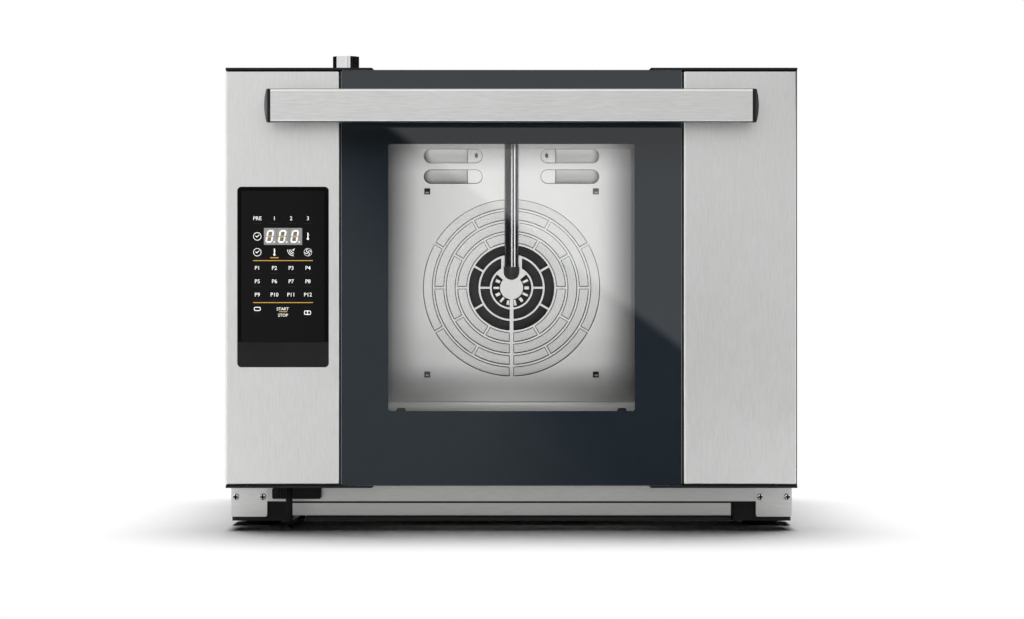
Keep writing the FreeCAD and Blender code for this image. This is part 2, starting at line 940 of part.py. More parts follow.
def cavity_shell():
    """Stainless cooking chamber, open at the front and back."""
    y = (cavity_front, cavity_back)
    outer = rounded_block(
        "shell_outer",
        (-cavity_half - d.liner_sheet, cavity_half + d.liner_sheet),
        y,
        (d.cavity_floor - d.liner_sheet, d.cavity_ceiling + d.liner_sheet),
        d.cavity_corner + d.liner_sheet,
    )
    inner = rounded_block(
        "shell_inner",
        (-cavity_half, cavity_half),
        beyond(y),
        (d.cavity_floor, d.cavity_ceiling),
        d.cavity_corner,
    )
    through = beyond((d.cavity_ceiling, d.cavity_ceiling + d.liner_sheet))
    flue_radius = d.chimney_radius - d.chimney_wall
    flue = round_bar("shell_flue", "z", flue_radius, through, (chimney_x, chimney_y))
    pipe_hole = round_bar("shell_pipe_hole", "z", d.pipe_radius + d.pipe_fit, through, (0, pipe_y))
    return cut("cavity_shell", outer, inner, flue, pipe_hole)


def heater_leg_places():
    """X and Z places of the heating element's legs, loop by loop."""
    places = []
    for loop in range(2):
        for angle, sign in heater_ends(loop):
            x = heater_circle * math.cos(angle) + sign * d.heater_bend * -math.sin(angle)
            z = d.fan_height + heater_circle * math.sin(angle) + sign * d.heater_bend * math.cos(angle)
            places.append((x, z))
    return places


def heater_ends(loop):
    """Start and end angle of a heater loop, each with the side its leg is on."""
    gap = math.radians((d.heater_gap_half_deg + loop * d.heater_gap_step_deg).value)
    bottom = 1.5 * math.pi
    return ((bottom + gap, -1), (bottom - gap + 2 * math.pi, 1))


def rear_holes(ends):
    """Cutting tools for what passes the rear wall and its insulation."""
    at_axis = (0, d.fan_height)
    tools = [
        round_bar("leg_hole", "y", d.heater_radius + d.heater_fit, ends, place)
        for place in heater_leg_places()
    ]
    tools.append(round_bar("probe_hole", "y", d.probe_radius, ends, (-d.probe_offset, d.probe_height)))
    return tools, at_axis


def cavity_rear_wall():
    """Rear wall of the cooking chamber, behind the fan."""
    y = (cavity_back, rear_wall_back)
    wall = rounded_block(
        "rear_wall_blank",
        (-cavity_half - d.liner_sheet, cavity_half + d.liner_sheet),
        y,
        (d.cavity_floor - d.liner_sheet, d.cavity_ceiling + d.liner_sheet),
        d.cavity_corner + d.liner_sheet,
    )
    tools, at_axis = rear_holes(beyond(y))
    tools.append(round_bar("axis_hole", "y", d.shaft_hole, beyond(y), at_axis))
    return cut("cavity_rear_wall", wall, *tools)


def insulation_blanket():
    """Mineral wool slabs around the cooking chamber."""
    side_out = cavity_half + d.liner_sheet
    top = d.cavity_ceiling + d.liner_sheet
    bottom = d.cavity_floor - d.liner_sheet
    y = (cavity_front + d.insulation_front, cavity_back)
    wide = (-side_out - d.insulation, side_out + d.insulation)
    z = (top, top + d.insulation)
    chimney_hole = round_bar(
        "wool_chimney_hole", "z", d.chimney_radius + d.chimney_fit, beyond(z), (chimney_x, chimney_y)
    )
    pipe_hole = round_bar("wool_pipe_hole", "z", d.pipe_radius + d.pipe_fit, beyond(z), (0, pipe_y))
    slabs = [
        cut("wool_top", box("wool_top_blank", wide, y, z), chimney_hole, pipe_hole),
        box("wool_bottom", wide, y, (bottom - d.insulation, bottom)),
    ]
    for side in SIDES:
        slabs.append(box("wool_side", mirrored(side, side_out, side_out + d.insulation), y, (bottom, top)))
    back_y = (rear_wall_back, rear_wall_back + d.rear_insulation)
    tools, at_axis = rear_holes(beyond(back_y))
    tools.append(round_bar("wool_motor_hole", "y", d.motor_plate_radius + OVERCUT, beyond(back_y), at_axis))
    back_blank = box("wool_back_blank", (-side_out, side_out), back_y, (bottom, top))
    slabs.append(cut("wool_back", back_blank, *tools))
    return group("insulation_blanket", slabs)


def turned_bar(label, angle_deg, reach, width, y, rise=0):
    """A bar at an angle in the XZ plane, through the fan axis or raised from it along its own height."""
    angle = math.radians(angle_deg)
    solid = doc.addObject("Part::Box", label)
    solid.Placement = FreeCAD.Placement(FreeCAD.Vector(), FreeCAD.Rotation(AXES["y"], angle_deg))
    bind(solid, "Length", 2 * reach)
    bind(solid, "Width", size(y[1]) - y[0])
    bind(solid, "Height", width)
    drop = width / 2 - rise
    bind(solid, "Placement.Base.x", -reach * math.cos(angle) - drop * math.sin(angle))
    bind(solid, "Placement.Base.y", y[0])
    bind(solid, "Placement.Base.z", d.fan_height + reach * math.sin(angle) - drop * math.cos(angle))
    return solid


def guard_grille(y):
    """Cutting tools for the ring slots of the fan guard, with the bars left standing."""
    reach = d.ring_first + d.ring_count * ring_pitch
    half_block = d.pipe_block / 2
    block_z = (d.fan_height, d.fan_height + reach)
    block = box("grille_block", (-half_block, half_block), beyond(y), block_z)
    widths = {angle: d.ring_bar for angle in (0, 30, 60, 120, 150)}
    widths[90] = d.centre_bar
    bars = {a: turned_bar("grille_bar", a, reach, width, beyond(y)) for a, width in widths.items()}
    even_bars = [bars[angle] for angle in (30, 90, 150)]
    odd_bars = [bars[angle] for angle in (0, 60, 90, 120)]
    flanks = [turned_bar("grille_flank", a, reach, reach, beyond(y), reach / 2) for a in (-42, 42)]
    wedge = common("grille_wedge", *flanks)
    inmost_bars = [[bars[90], wedge], [bars[0], bars[90], block]]
    tools = []
    for number in range(int(d.ring_count.value)):
        inner = d.ring_first + number * ring_pitch
        edge = inner if number else d.guard_disc
        slot = ring("grille_slot", "y", inner + ring_slot, edge, y, (0, d.fan_height))
        outer_bars = odd_bars if number % 2 else even_bars
        kept = inmost_bars[number] if number < len(inmost_bars) else outer_bars
        tools.append(cut("grille_arcs", slot, *kept))
    return tools


def long_slot(label, x, y, z, length, height):
    """A round-ended slot along X, cut through Y."""
    radius = height / 2
    reach = length / 2 - radius
    middle = box(f"{label}_middle", (x - reach, x + reach), y, (z - radius, z + radius))
    ends = [round_bar(f"{label}_end", "y", radius, y, (x + side * reach, z)) for side in SIDES]
    return fuse(label, middle, *ends)


def guard_post_places():
    """X and Z places of the posts that carry the fan guard."""
    heights = (d.fan_height - 0.87 * heater_circle, d.fan_height + 0.966 * heater_circle)
    return [(side * 0.845 * heater_circle, z) for side in SIDES for z in heights]


def fan_guard():
    """Pressed plate in front of the fan, with ring slots and upper air slots."""
    y = (guard_front, guard_back)
    half = d.guard_width / 2
    z = (d.cavity_floor + d.guard_gap, d.cavity_ceiling - d.guard_gap)
    face = box("guard_face", (-half, half), y, z)
    fold_y = (guard_back, guard_back + d.guard_fold)
    folds = [box("guard_fold", mirrored(side, half - d.guard_sheet, half), fold_y, z) for side in SIDES]
    tools = guard_grille(beyond(y))
    for side in SIDES:
        for height in (d.vane_slot_upper, d.vane_slot_lower):
            place = (side * d.vane_slot_offset, beyond(y), height)
            tools.append(long_slot("vane_slot", *place, d.vane_slot_length, d.vane_slot_height))
    for place in guard_post_places():
        hole_radius = d.fastener_shank + d.screw_clearance
        tools.append(round_bar("guard_hole", "y", hole_radius, beyond(y), place))
    return cut("fan_guard", fuse("guard_blank", face, *folds), *tools)


def guard_posts():
    """Posts between the fan guard and the rear wall, bored for the fasteners."""
    posts = []
    y = (guard_back, cavity_back)
    for place in guard_post_places():
        posts.append(ring("guard_post", "y", d.guard_post_radius, d.fastener_shank, y, place))
    return group("guard_posts", posts)


def guard_fasteners():
    """Square-headed fasteners that hold the fan guard."""
    fasteners = []
    half = d.fastener_size / 2
    head_y = (guard_front - d.fastener_height, guard_front)
    shank_y = (guard_front, guard_back + 3 * d.fastener_size / 2)
    for x, z in guard_post_places():
        head = box("fastener_head", (x - half, x + half), head_y, (z - half, z + half))
        shank = round_bar("fastener_shank", "y", d.fastener_shank, shank_y, (x, z))
        fasteners.append(fuse("fastener", head, shank))
    return group("guard_fasteners", fasteners)


def guard_stiffener():
    """Channel behind the upper slots of the fan guard."""
    half = d.stiffener_width / 2
    face_y = (guard_back + d.stiffener_standoff, guard_back + d.stiffener_standoff + d.guard_sheet)
    z = (d.stiffener_bottom, d.stiffener_top)
    face = box("stiffener_face", (-half, half), face_y, z)
    lips = [
        box("stiffener_lip", (-half, half), (guard_back, face_y[0]), lip_z)
        for lip_z in ((z[0], z[0] + d.guard_sheet), (z[1] - d.guard_sheet, z[1]))
    ]
    hole_x = 0.4 * d.stiffener_width
    holes = [
        round_bar("stiffener_hole", "y", d.screw_shank, beyond(face_y), (side * hole_x, d.vane_slot_upper))
        for side in SIDES
    ]
    return cut("guard_stiffener", fuse("stiffener_blank", face, *lips), *holes)


def tray_rack(side):
    """Wire rack with a runner for each tray level."""
    wall = cavity_half
    post_x = side * (wall - d.rack_inset)
    runner_x = side * (wall - d.runner_inset)
    posts_y = (body_front + d.rack_front, cavity_back - d.rack_back)
    runner_y = (posts_y[0] - d.rack_overhang, posts_y[1] + d.rack_overhang)
    post_z = (
        d.cavity_floor + d.cavity_corner + d.rack_foot,
        d.cavity_ceiling - d.cavity_corner - d.rack_head,
    )
    wires = [round_bar("rack_post", "z", d.wire_radius, post_z, (post_x, y)) for y in posts_y]
    for level in range(int(d.tray_levels.value)):
        z = d.cavity_floor + d.tray_first + level * d.tray_pitch
        wires.append(round_bar("runner", "y", d.wire_radius, runner_y, (runner_x, z)))
        arm_x = mirrored(side, wall - d.runner_inset, wall)
        wires += [round_bar("runner_arm", "x", d.wire_radius * 0.8, arm_x, (y, z)) for y in posts_y]
    return fuse("tray_rack", *wires)


def tray_racks():
    """The racks at both sides of the cavity."""
    return group("tray_racks", [tray_rack(side) for side in SIDES])


# Fan, motor and heater


def fan_wheel():
    """Closed radial wheel: back disc, patterned blades, front ring and hub."""
    body = doc.addObject("PartDesign::Body", "fan_wheel")
    bind(body, "Placement.Base.y", fan_front)
    bind(body, "Placement.Base.z", d.fan_height)
    disc = sketch_on(body, "XZ_Plane", -(d.fan_depth - d.fan_sheet))
    draw_circle(disc, 0, 0, fan_radius)
    draw_circle(disc, 0, 0, d.shaft_radius)
    add_feature(body, "Pad", disc, d.fan_sheet, backwards=True)
    blade = sketch_on(body, "XZ_Plane", -d.fan_sheet)
    lean = math.radians(25)
    half = d.fan_sheet / 2
    inner = (blade_inner, size(0))
    length = (fan_radius - blade_inner) * 0.95
    outer = (inner[0] + length * math.cos(lean), length * math.sin(lean))
    across = (-math.sin(lean), math.cos(lean))
    corners = [(p[0] + s * half * across[0], p[1] + s * half * across[1]) for p, s in
               ((inner, -1), (outer, -1), (outer, 1), (inner, 1))]
    draw_outline(blade, corners)
    blade_pad = add_feature(body, "Pad", blade, d.fan_depth - 2 * d.fan_sheet, backwards=True)
    pattern = body.newObject("PartDesign::PolarPattern", "fan_blades")
    pattern.Originals = [blade_pad]
    pattern.Axis = (blade, ["N_Axis"])
    pattern.Angle = 360
    bind(pattern, "Occurrences", d.blade_count)
    body.Tip = pattern
    front = sketch_on(body, "XZ_Plane", 0)
    draw_circle(front, 0, 0, fan_radius)
    draw_circle(front, 0, 0, fan_eye)
    add_feature(body, "Pad", front, d.fan_sheet, backwards=True)
    hub = sketch_on(body, "XZ_Plane", -(d.fan_depth - d.fan_sheet))
    draw_circle(hub, 0, 0, d.hub_radius)
    draw_circle(hub, 0, 0, d.shaft_radius)
    add_feature(body, "Pad", hub, d.hub_length)
    return body


def fan_nut():
    """Hexagon nut on the end of the shaft."""
    hub_front = fan_back - d.fan_sheet - d.hub_length
    y = (hub_front - d.nut_length, hub_front)
    nut = doc.addObject("Part::Prism", "fan_nut_blank")
    nut.Polygon = 6
    nut.Placement = FreeCAD.Placement(FreeCAD.Vector(), TURN_FROM_Z["y"])
    bind(nut, "Circumradius", d.nut_radius)
    bind(nut, "Height", d.nut_length)
    bind(nut, "Placement.Base.y", y[0])
    bind(nut, "Placement.Base.z", d.fan_height)
    bore = round_bar("fan_nut_bore", "y", d.shaft_radius, beyond(y), (0, d.fan_height))
    return cut("fan_nut", nut, bore)


def motor_shaft():
    """Shaft from the fan nut to the back of the motor."""
    front = fan_back - d.fan_sheet - d.hub_length - d.nut_length
    return round_bar("motor_shaft", "y", d.shaft_radius, (front, motor_back), (0, d.fan_height))


def motor_housing():
    """Motor case with a bearing seat in each end."""
    at = (0, d.fan_height)
    case = round_bar("case_blank", "y", d.motor_radius, (motor_front, motor_back), at)
    room_y = (motor_front + d.bearing_width, motor_back - d.bearing_width)
    room = round_bar("case_room", "y", d.motor_radius - d.motor_wall, room_y, at)
    seats = round_bar("case_seats", "y", d.bearing_radius, beyond((motor_front, motor_back)), at)
    return cut("motor_housing", case, room, seats)


def motor_bearings():
    """Bearings in the two ends of the motor case."""
    at = (0, d.fan_height)
    inner = d.shaft_radius + d.running_gap
    ends = ((motor_front, motor_front + d.bearing_width), (motor_back - d.bearing_width, motor_back))
    return group("motor_bearings", [ring("bearing", "y", d.bearing_radius, inner, y, at) for y in ends])


def motor_plate():
    """Plate on the rear wall with four pillars that carry the motor."""
    at = (0, d.fan_height)
    y = (rear_wall_back, rear_wall_back + d.motor_plate_thick)
    disc = ring("motor_disc", "y", d.motor_plate_radius, d.shaft_hole, y, at)
    reach = d.pillar_circle * math.sqrt(0.5)
    pillars = [
        round_bar("pillar", "y", d.pillar_radius, (y[1], motor_front), (a * reach, d.fan_height + b * reach))
        for a in SIDES
        for b in SIDES
    ]
    return fuse("motor_plate", disc, *pillars)


def heating_element():
    """Two round heater loops about the fan, with legs through the rear wall."""
    tail_y = (rear_wall_back + d.heater_tail).value
    bend, circle = d.heater_bend.value, heater_circle.value
    back = AXES["y"]
    loops = []
    for loop in range(2):
        y = guard_back + d.heater_first + loop * d.heater_pitch
        centre = point(0, y, d.fan_height)

        def on_circle(angle):
            return centre + FreeCAD.Vector(math.cos(angle), 0, math.sin(angle)) * circle

        def along(angle):
            return FreeCAD.Vector(-math.sin(angle), 0, math.cos(angle))

        (start, _), (end, _) = heater_ends(loop)
        first, last = on_circle(start), on_circle(end)
        first_leg = first + (back - along(start)) * bend
        last_leg = last + (back + along(end)) * bend
        corner = math.sqrt(0.5) * bend
        first_middle = first + back * bend - (along(start) + back) * corner
        last_middle = last + back * bend + (along(end) - back) * corner
        first_tail = FreeCAD.Vector(first_leg.x, tail_y, first_leg.z)
        last_tail = FreeCAD.Vector(last_leg.x, tail_y, last_leg.z)
        path = Part.Wire([
            Part.LineSegment(first_tail, first_leg).toShape(),
            Part.Arc(first_leg, first_middle, first).toShape(),
            Part.Arc(first, on_circle((start + end) / 2), last).toShape(),
            Part.Arc(last, last_middle, last_leg).toShape(),
            Part.LineSegment(last_leg, last_tail).toShape(),
        ])
        loops.append(swept_tube(path, d.heater_radius.value))
    return shaped("heating_element", Part.makeCompound(loops))


def temperature_probe():
    """Sensor rod through the rear wall."""
    y = (cavity_back - d.probe_reach, rear_wall_back + d.heater_tail)
    return round_bar("temperature_probe", "y", d.probe_radius, y, (-d.probe_offset, d.probe_height))


# Steam and water


def steam_pipe():
    """Steam pipe that hangs from the cavity ceiling in front of the fan."""
    at = (0, pipe_y)
    top = d.cavity_ceiling + d.liner_sheet + d.insulation
    tube_z = (d.nozzle_top, top)
    tube = round_bar("pipe_blank", "z", d.pipe_radius, tube_z, at)
    collar_z = (d.cavity_ceiling - d.pipe_collar_height, d.cavity_ceiling)
    collar = round_bar("pipe_collar", "z", d.pipe_collar, collar_z, at)
    bore = round_bar("pipe_bore", "z", d.pipe_radius - d.pipe_wall, beyond(tube_z), at)
    return cut("steam_pipe", fuse("pipe_outside", tube, collar), bore)


def steam_nozzle():
    """Round-ended nozzle on the lower end of the steam pipe."""
    middle = d.nozzle_bottom + d.nozzle_radius
    barrel = round_bar("nozzle_barrel", "z", d.nozzle_radius, (middle, d.nozzle_top), (0, pipe_y))
    return fuse("steam_nozzle", barrel, ball("nozzle_tip", d.nozzle_radius, 0, pipe_y, middle))


def water_tube():
    """Water tube from the valve to the top of the steam pipe."""
    pipe_top = d.cavity_ceiling + d.liner_sheet + d.insulation
    run_z = d.body_top - d.tube_clearance
    drop_y = valve_y - d.valve_depth / 2
    valve_top = d.valve_middle + d.valve_height / 2
    inside = pipe_top - 2 * d.tube_bend
    path = bent_path(
        [
            point(0, pipe_y, inside),
            point(0, pipe_y, run_z),
            point(0, drop_y, run_z),
            point(0, drop_y, valve_top),
        ],
        d.tube_bend.value,
    )
    return shaped("water_tube", swept_tube(path, d.tube_radius.value))


def water_valve():
    """Inlet valve with a threaded stub through the rear panel."""
    half = d.valve_width / 2
    z = (d.valve_middle - d.valve_height / 2, d.valve_middle + d.valve_height / 2)
    block = box("valve_block", (-half, half), (valve_y - d.valve_depth, valve_y), z)
    at = (0, d.valve_middle)
    neck = round_bar("valve_neck", "y", d.valve_neck, (valve_y, body_back), at)
    stub_y = (body_back, body_back + d.rear_reach)
    stub = round_bar("valve_stub", "y", d.valve_thread, stub_y, at)
    bore = round_bar("valve_bore", "y", d.valve_bore, (valve_y, stub_y[1] + OVERCUT), at)
    coil_x = (half, half + d.valve_width)
    coil_at = (valve_y - d.valve_depth / 2, d.valve_middle)
    coil = round_bar("valve_coil", "x", d.valve_height * 0.4, coil_x, coil_at)
    return cut("water_valve", fuse("valve_blank", block, neck, stub, coil), bore)


def chimney():
    """Vent pipe from the cavity through the top panel, with a trim flange."""
    body = doc.addObject("PartDesign::Body", "chimney")
    bind(body, "Placement.Base.x", chimney_x)
    bind(body, "Placement.Base.y", chimney_y)
    profile = sketch_on(body, "XZ_Plane")
    inner = d.chimney_radius - d.chimney_wall
    foot = d.cavity_ceiling + d.liner_sheet
    flange_top = d.body_top + d.chimney_flange_thick
    outline = [
        (inner, foot),
        (d.chimney_radius, foot),
        (d.chimney_radius, d.body_top),
        (d.chimney_flange, d.body_top),
        (d.chimney_flange, flange_top),
        (d.chimney_radius, flange_top),
        (d.chimney_radius, d.chimney_top),
        (inner, d.chimney_top),
    ]
    draw_outline(profile, outline)
    turned = body.newObject("PartDesign::Revolution", "chimney_turned")
    turned.Profile = profile
    turned.ReferenceAxis = (profile, ["V_Axis"])
    turned.Angle = 360
    doc.recompute()
    return body


# Electrics in the base


def power_board():
    """Power board on standoffs over the base."""
    x = (d.power_left, d.power_left + d.power_width)
    y = (body_front + d.power_setback, body_front + d.power_setback + d.power_depth)
    z = base_top + d.power_standoff
    top = z + d.board_thick
    board = box("power_sheet", x, y, (z, top))
    inset = d.power_corner
    standoffs = [
        round_bar("power_standoff", "z", d.pillar_radius, (base_top, z), (px, py))
        for px in (x[0] + inset, x[1] - inset)
        for py in (y[0] + inset, y[1] - inset)
    ]
    relay = d.power_depth / 7
    relays = [
        box(
            "relay",
            (x[0] + 2 * inset, x[0] + 2 * inset + 1.5 * relay),
            (y[0] + inset + n * 1.5 * relay, y[0] + inset + (n * 1.5 + 1) * relay),
            (top, top + relay),
        )
        for n in range(4)
    ]
    sink = box(
        "heat_sink",
        (x[1] - 4 * inset, x[1] - 2 * inset),
        (y[0] + 2 * inset, y[1] - 2 * inset),
        (top, top + 1.5 * relay),
    )
    return fuse("power_board", board, sink, *standoffs, *relays)


# Hinges


def hinge_arm(side):
    """Hinge arm from a foot on the base to the door pivot."""
    x = mirrored(side, arm_inner, arm_outer)
    at = (pivot_y, d.pivot_height)
    eye = round_bar("arm_eye", "x", d.arm_half, x, at)
    web_y = (body_front + d.arm_web_start, body_front + d.arm_web_end)
    foot_top = base_top + d.arm_foot_thick
    reach_z = (d.pivot_height - d.arm_half, d.pivot_height + d.arm_half)
    reach = box("arm_reach", x, (pivot_y, web_y[1]), reach_z)
    web = box("arm_web", x, web_y, (foot_top, d.pivot_height))
    foot_x = mirrored(side, arm_inner - d.arm_foot_side, arm_outer + d.arm_foot_side)
    foot = box("arm_foot", foot_x, web_y, (base_top, foot_top))
    bore = round_bar("arm_bore", "x", bush_radius, beyond(x), at)
    return cut("hinge_arm", fuse("arm_blank", eye, reach, web, foot), bore)


def hinge_arms():
    """The hinge arms at both sides."""
    return group("hinge_arms", [hinge_arm(side) for side in SIDES])


def hinge_bushes():
    """Bushes in the eyes of the hinge arms."""
    at = (pivot_y, d.pivot_height)
    inner = d.pin_radius + d.running_gap
    ends = [mirrored(side, arm_inner, arm_outer) for side in SIDES]
    return group("hinge_bushes", [ring("bush", "x", bush_radius, inner, x, at) for x in ends])


def hinge_pins():
    """Pins in the door's hinge brackets."""
    at = (pivot_y, d.pivot_height)
    ends = [mirrored(s, cheek_inner - d.pin_overhang, cheek_outer + d.pin_overhang) for s in SIDES]
    return group("hinge_pins", [round_bar("hinge_pin", "x", d.pin_radius, x, at) for x in ends])


def hinge_brackets():
    """Brackets in the door frames that hold the hinge pins."""
    brackets = []
    y = (pivot_y - d.cheek_front, pivot_y + d.cheek_back)
    bridge_bottom = d.pivot_height + d.arm_half + d.bridge_gap
    z = (d.pivot_height - d.cheek_height, bridge_bottom)
    wall = half_width - d.frame_wall
    for side in SIDES:
        inner = box("cheek", mirrored(side, cheek_inner, cheek_inner + d.cheek_thick), y, z)
        outer = box("cheek", mirrored(side, cheek_outer - d.cheek_thick, cheek_outer), y, z)
        bridge_z = (bridge_bottom, bridge_bottom + d.bridge_thick)
        bridge = box("bridge", mirrored(side, cheek_inner, wall), y, bridge_z)
        bore_x = beyond(mirrored(side, cheek_inner, cheek_outer))
        bore = round_bar("cheek_bore", "x", d.pin_radius, bore_x, (pivot_y, d.pivot_height))
        brackets.append(cut("bracket", fuse("bracket_blank", inner, outer, bridge), bore))
    return group("hinge_brackets", brackets)


def hinge_springs():
    """Coil springs about the hinge pins, between arm and outer cheek."""
    radius = (d.pin_radius + d.spring_gap + d.spring_wire).value
    room = (cheek_outer - d.cheek_thick - arm_outer).value
    wire = d.spring_wire.value
    length = room - 2 * wire - 2 * d.spring_gap.value
    turns = d.spring_turns.value
    springs = []
    for side in SIDES:
        helix = Part.makeHelix(length / turns, length, radius)
        circle = Part.Circle(FreeCAD.Vector(radius, 0, 0), AXES["y"], wire).toShape()
        coil = Part.Wire(helix.Edges).makePipeShell([Part.Wire(circle)], True, True)
        start = arm_outer.value + wire + d.spring_gap.value
        place = point(start if side > 0 else -start - length, pivot_y, d.pivot_height)
        coil.Placement = FreeCAD.Placement(place, TURN_FROM_Z["x"])
        springs.append(coil)
    return shaped("hinge_springs", Part.makeCompound(springs))


# Door


def hinge_notch(label, side, y, top):
    """A cutting tool for the room that the hinge arm needs in the door."""
    x = mirrored(side, arm_inner - d.arm_gap, arm_outer + d.arm_gap)
    return box(label, x, y, (d.door_bottom - OVERCUT, top))


def cable_hole(label, z):
    """A cutting tool for the control cable's way out of the door."""
    return round_bar(label, "z", d.cable_radius + d.cable_fit, z, (cable_x, cable_y))


def plate_body(label, x, y, z, corner=None):
    """A flat plate in the XZ plane as a padded sketch, with rounded corners."""
    body = doc.addObject("PartDesign::Body", label)
    outline = sketch_on(body, "XZ_Plane", -size(y[0]))
    draw_rectangle(outline, x, z)
    add_feature(body, "Pad", outline, size(y[1]) - y[0], backwards=True)
    if corner is not None:
        add_fillet(body, corner, runs_along("y"))
    return body


def outer_glass():
    """Outer pane of the door, full height."""
    y = (door_front + d.glass_setback, glass_back)
    return plate_body("outer_glass", (-glass_half, glass_half), y, (pane_bottom, pane_top), d.glass_corner)


def inner_glass():
    """Inner pane of the door, behind the inner panel's window."""
    half = d.inner_window_width / 2 + d.inner_glass_lap
    y = (frame_back - d.inner_glass_thick, frame_back)
    z = (d.inner_window_bottom - d.inner_glass_lap, d.inner_window_top + d.inner_glass_lap)
    return plate_body("inner_glass", (-half, half), y, z, d.glass_corner)


def glass_clips():
    """Clips that hold the lower edge of the inner pane."""
    clips = []
    back = frame_back - d.inner_glass_thick
    half, rise = d.clip_width / 2, d.clip_height / 2
    middle = d.inner_window_bottom - d.clip_drop
    for side in SIDES:
        x = side * d.clip_spacing / 2
        block_y = (back - d.clip_thick, back)
        block = box("clip_block", (x - half, x + half), block_y, (middle - rise, middle + rise))
        boss_y = (back - 1.5 * d.clip_thick, back - d.clip_thick)
        boss = round_bar("clip_boss", "y", half / 2, boss_y, (x, middle))
        clips.append(fuse("clip", soften("clip_body", block, half / 2, runs_along("y")), boss))
    return group("glass_clips", clips)


def door_skin(side):
    """Folded stainless skin at one side of the door."""
    label = f"door_skin_{SIDE_NAME[side]}"
    body = doc.addObject("PartDesign::Body", label)
    x = mirrored(side, frame_inner, half_width - d.skin_margin)
    z = (pane_bottom + d.skin_inset, pane_top - d.skin_inset)
    outline = sketch_on(body, "XZ_Plane", -door_front)
    draw_rectangle(outline, x, z)
    add_feature(body, "Pad", outline, d.skin_fold, backwards=True)
    add_fillet(body, d.skin_edge, runs_along("y"))
    add_fillet(body, d.skin_edge * 0.75, lies_at("y", door_front))
    hollow = sketch_on(body, "XZ_Plane", -(door_front + d.skin_sheet))
    fold = d.skin_sheet
    draw_rectangle(hollow, (x[0] + fold, x[1] - fold), (z[0] + fold, z[1] - fold))
    add_feature(body, "Pocket", hollow, d.skin_fold)
    if side < 0:
        mouth = sketch_on(body, "XZ_Plane", -door_front)
        fit = d.panel_fit
        draw_rectangle(
            mouth,
            (panel_x[0] - fit, panel_x[1] + fit),
            (panel_z[0] - fit, panel_z[1] + fit),
        )
        add_feature(body, "Pocket", mouth, d.skin_fold)
        for edge_x in (panel_x[0] - fit, panel_x[1] + fit):
            add_fillet(body, d.panel_corner + fit, runs_along("y"), lies_at("x", edge_x))
    return body


def door_frame(side):
    """Rectangular frame behind one door skin, with a ledge that carries the glass."""
    y = (frame_front, frame_back)
    x = mirrored(side, frame_inner, half_width)
    z = (pane_bottom, pane_top)
    wall = d.frame_wall
    blank = box("frame_blank", x, y, z)
    room = box("frame_room", (x[0] + wall, x[1] - wall), beyond(y), (z[0] + wall, z[1] - wall))
    tools = [room, hinge_notch("frame_notch", side, beyond(y), z[0] + wall + OVERCUT)]
    if side < 0:
        tools.append(cable_hole("frame_cable_hole", beyond((z[0], z[0] + wall))))
    walls = cut("frame_walls", blank, *tools)
    ledge_y = (glass_back, glass_back + d.ledge_thick)
    ledge = box("frame_ledge", mirrored(side, ledge_inner, frame_inner), ledge_y, z)
    return fuse("door_frame", walls, ledge)


def door_frames():
    """The frames at both sides of the door."""
    return group("door_frames", [door_frame(side) for side in SIDES])


def door_caps():
    """Dark strips that close the ends of the door above and below."""
    caps = []
    y = (door_front + d.cap_setback, door_back)
    inner = glass_half - d.cap_overlap
    for side in SIDES:
        x = mirrored(side, inner, half_width)
        lower = box("cap_lower", x, y, (d.door_bottom, pane_bottom))
        tools = [hinge_notch("cap_notch", side, (frame_front, door_back + OVERCUT), pane_bottom + OVERCUT)]
        if side < 0:
            tools.append(cable_hole("cap_cable_hole", beyond((d.door_bottom, pane_bottom))))
        upper = box("cap_upper", x, y, (pane_top, d.door_top))
        end = side * inner
        opened = cut("cap_open", lower, *tools)
        for label, cap, edge_z in (("lower", opened, d.door_bottom), ("upper", upper, d.door_top)):
            caps.append(
                soften(
                    f"door_cap_{label}",
                    cap,
                    0.9 * d.cap_thick,
                    runs_along("y"),
                    lies_at("x", end),
                    lies_at("z", edge_z),
                    kind="Part::Chamfer",
                )
            )
    return group("door_caps", caps)


def door_inner_panel():
    """Inner sheet of the door with the window opening."""
    y = (frame_back, door_back)
    half = half_width - d.inner_panel_margin
    sheet = box("inner_sheet_blank", (-half, half), y, (pane_bottom, pane_top))
    reach = d.inner_window_width / 2
    window = rounded_block(
        "inner_window",
        (-reach, reach),
        beyond(y),
        (d.inner_window_bottom, d.inner_window_top),
        d.cavity_corner / 2,
    )
    notch_top = d.pivot_height + d.arm_half + d.bridge_gap
    notches = [hinge_notch("inner_notch", side, beyond(y), notch_top) for side in SIDES]
    return cut("door_inner_panel", sheet, window, *notches)


def glass_rails():
    """Channels behind the top and bottom edges of the outer pane."""
    rails = []
    y = (glass_back, glass_back + d.rail_depth)
    for z in ((pane_bottom, pane_bottom + d.rail_height), (pane_top - d.rail_height, pane_top)):
        blank = box("rail_blank", (-ledge_inner, ledge_inner), y, z)
        wall = d.rail_wall
        room_y = (y[0] + wall, y[1] + OVERCUT)
        room_x = beyond((-ledge_inner, ledge_inner))
        room = box("rail_room", room_x, room_y, (z[0] + wall, z[1] - wall))
        rails.append(cut("rail", blank, room))
    return group("glass_rails", rails)


def light_bars():
    """Lamp strips behind the outer pane, at each side of the window."""
    bars = []
    middle = (d.inner_window_bottom + d.inner_window_top) / 2
    z = (middle - d.light_length / 2, middle + d.light_length / 2)
    y = (glass_back, glass_back + d.light_depth)
    for side in SIDES:
        bars.append(box("light_bar", mirrored(side, ledge_inner - d.light_width, ledge_inner), y, z))
    return group("light_bars", bars)


# Handle


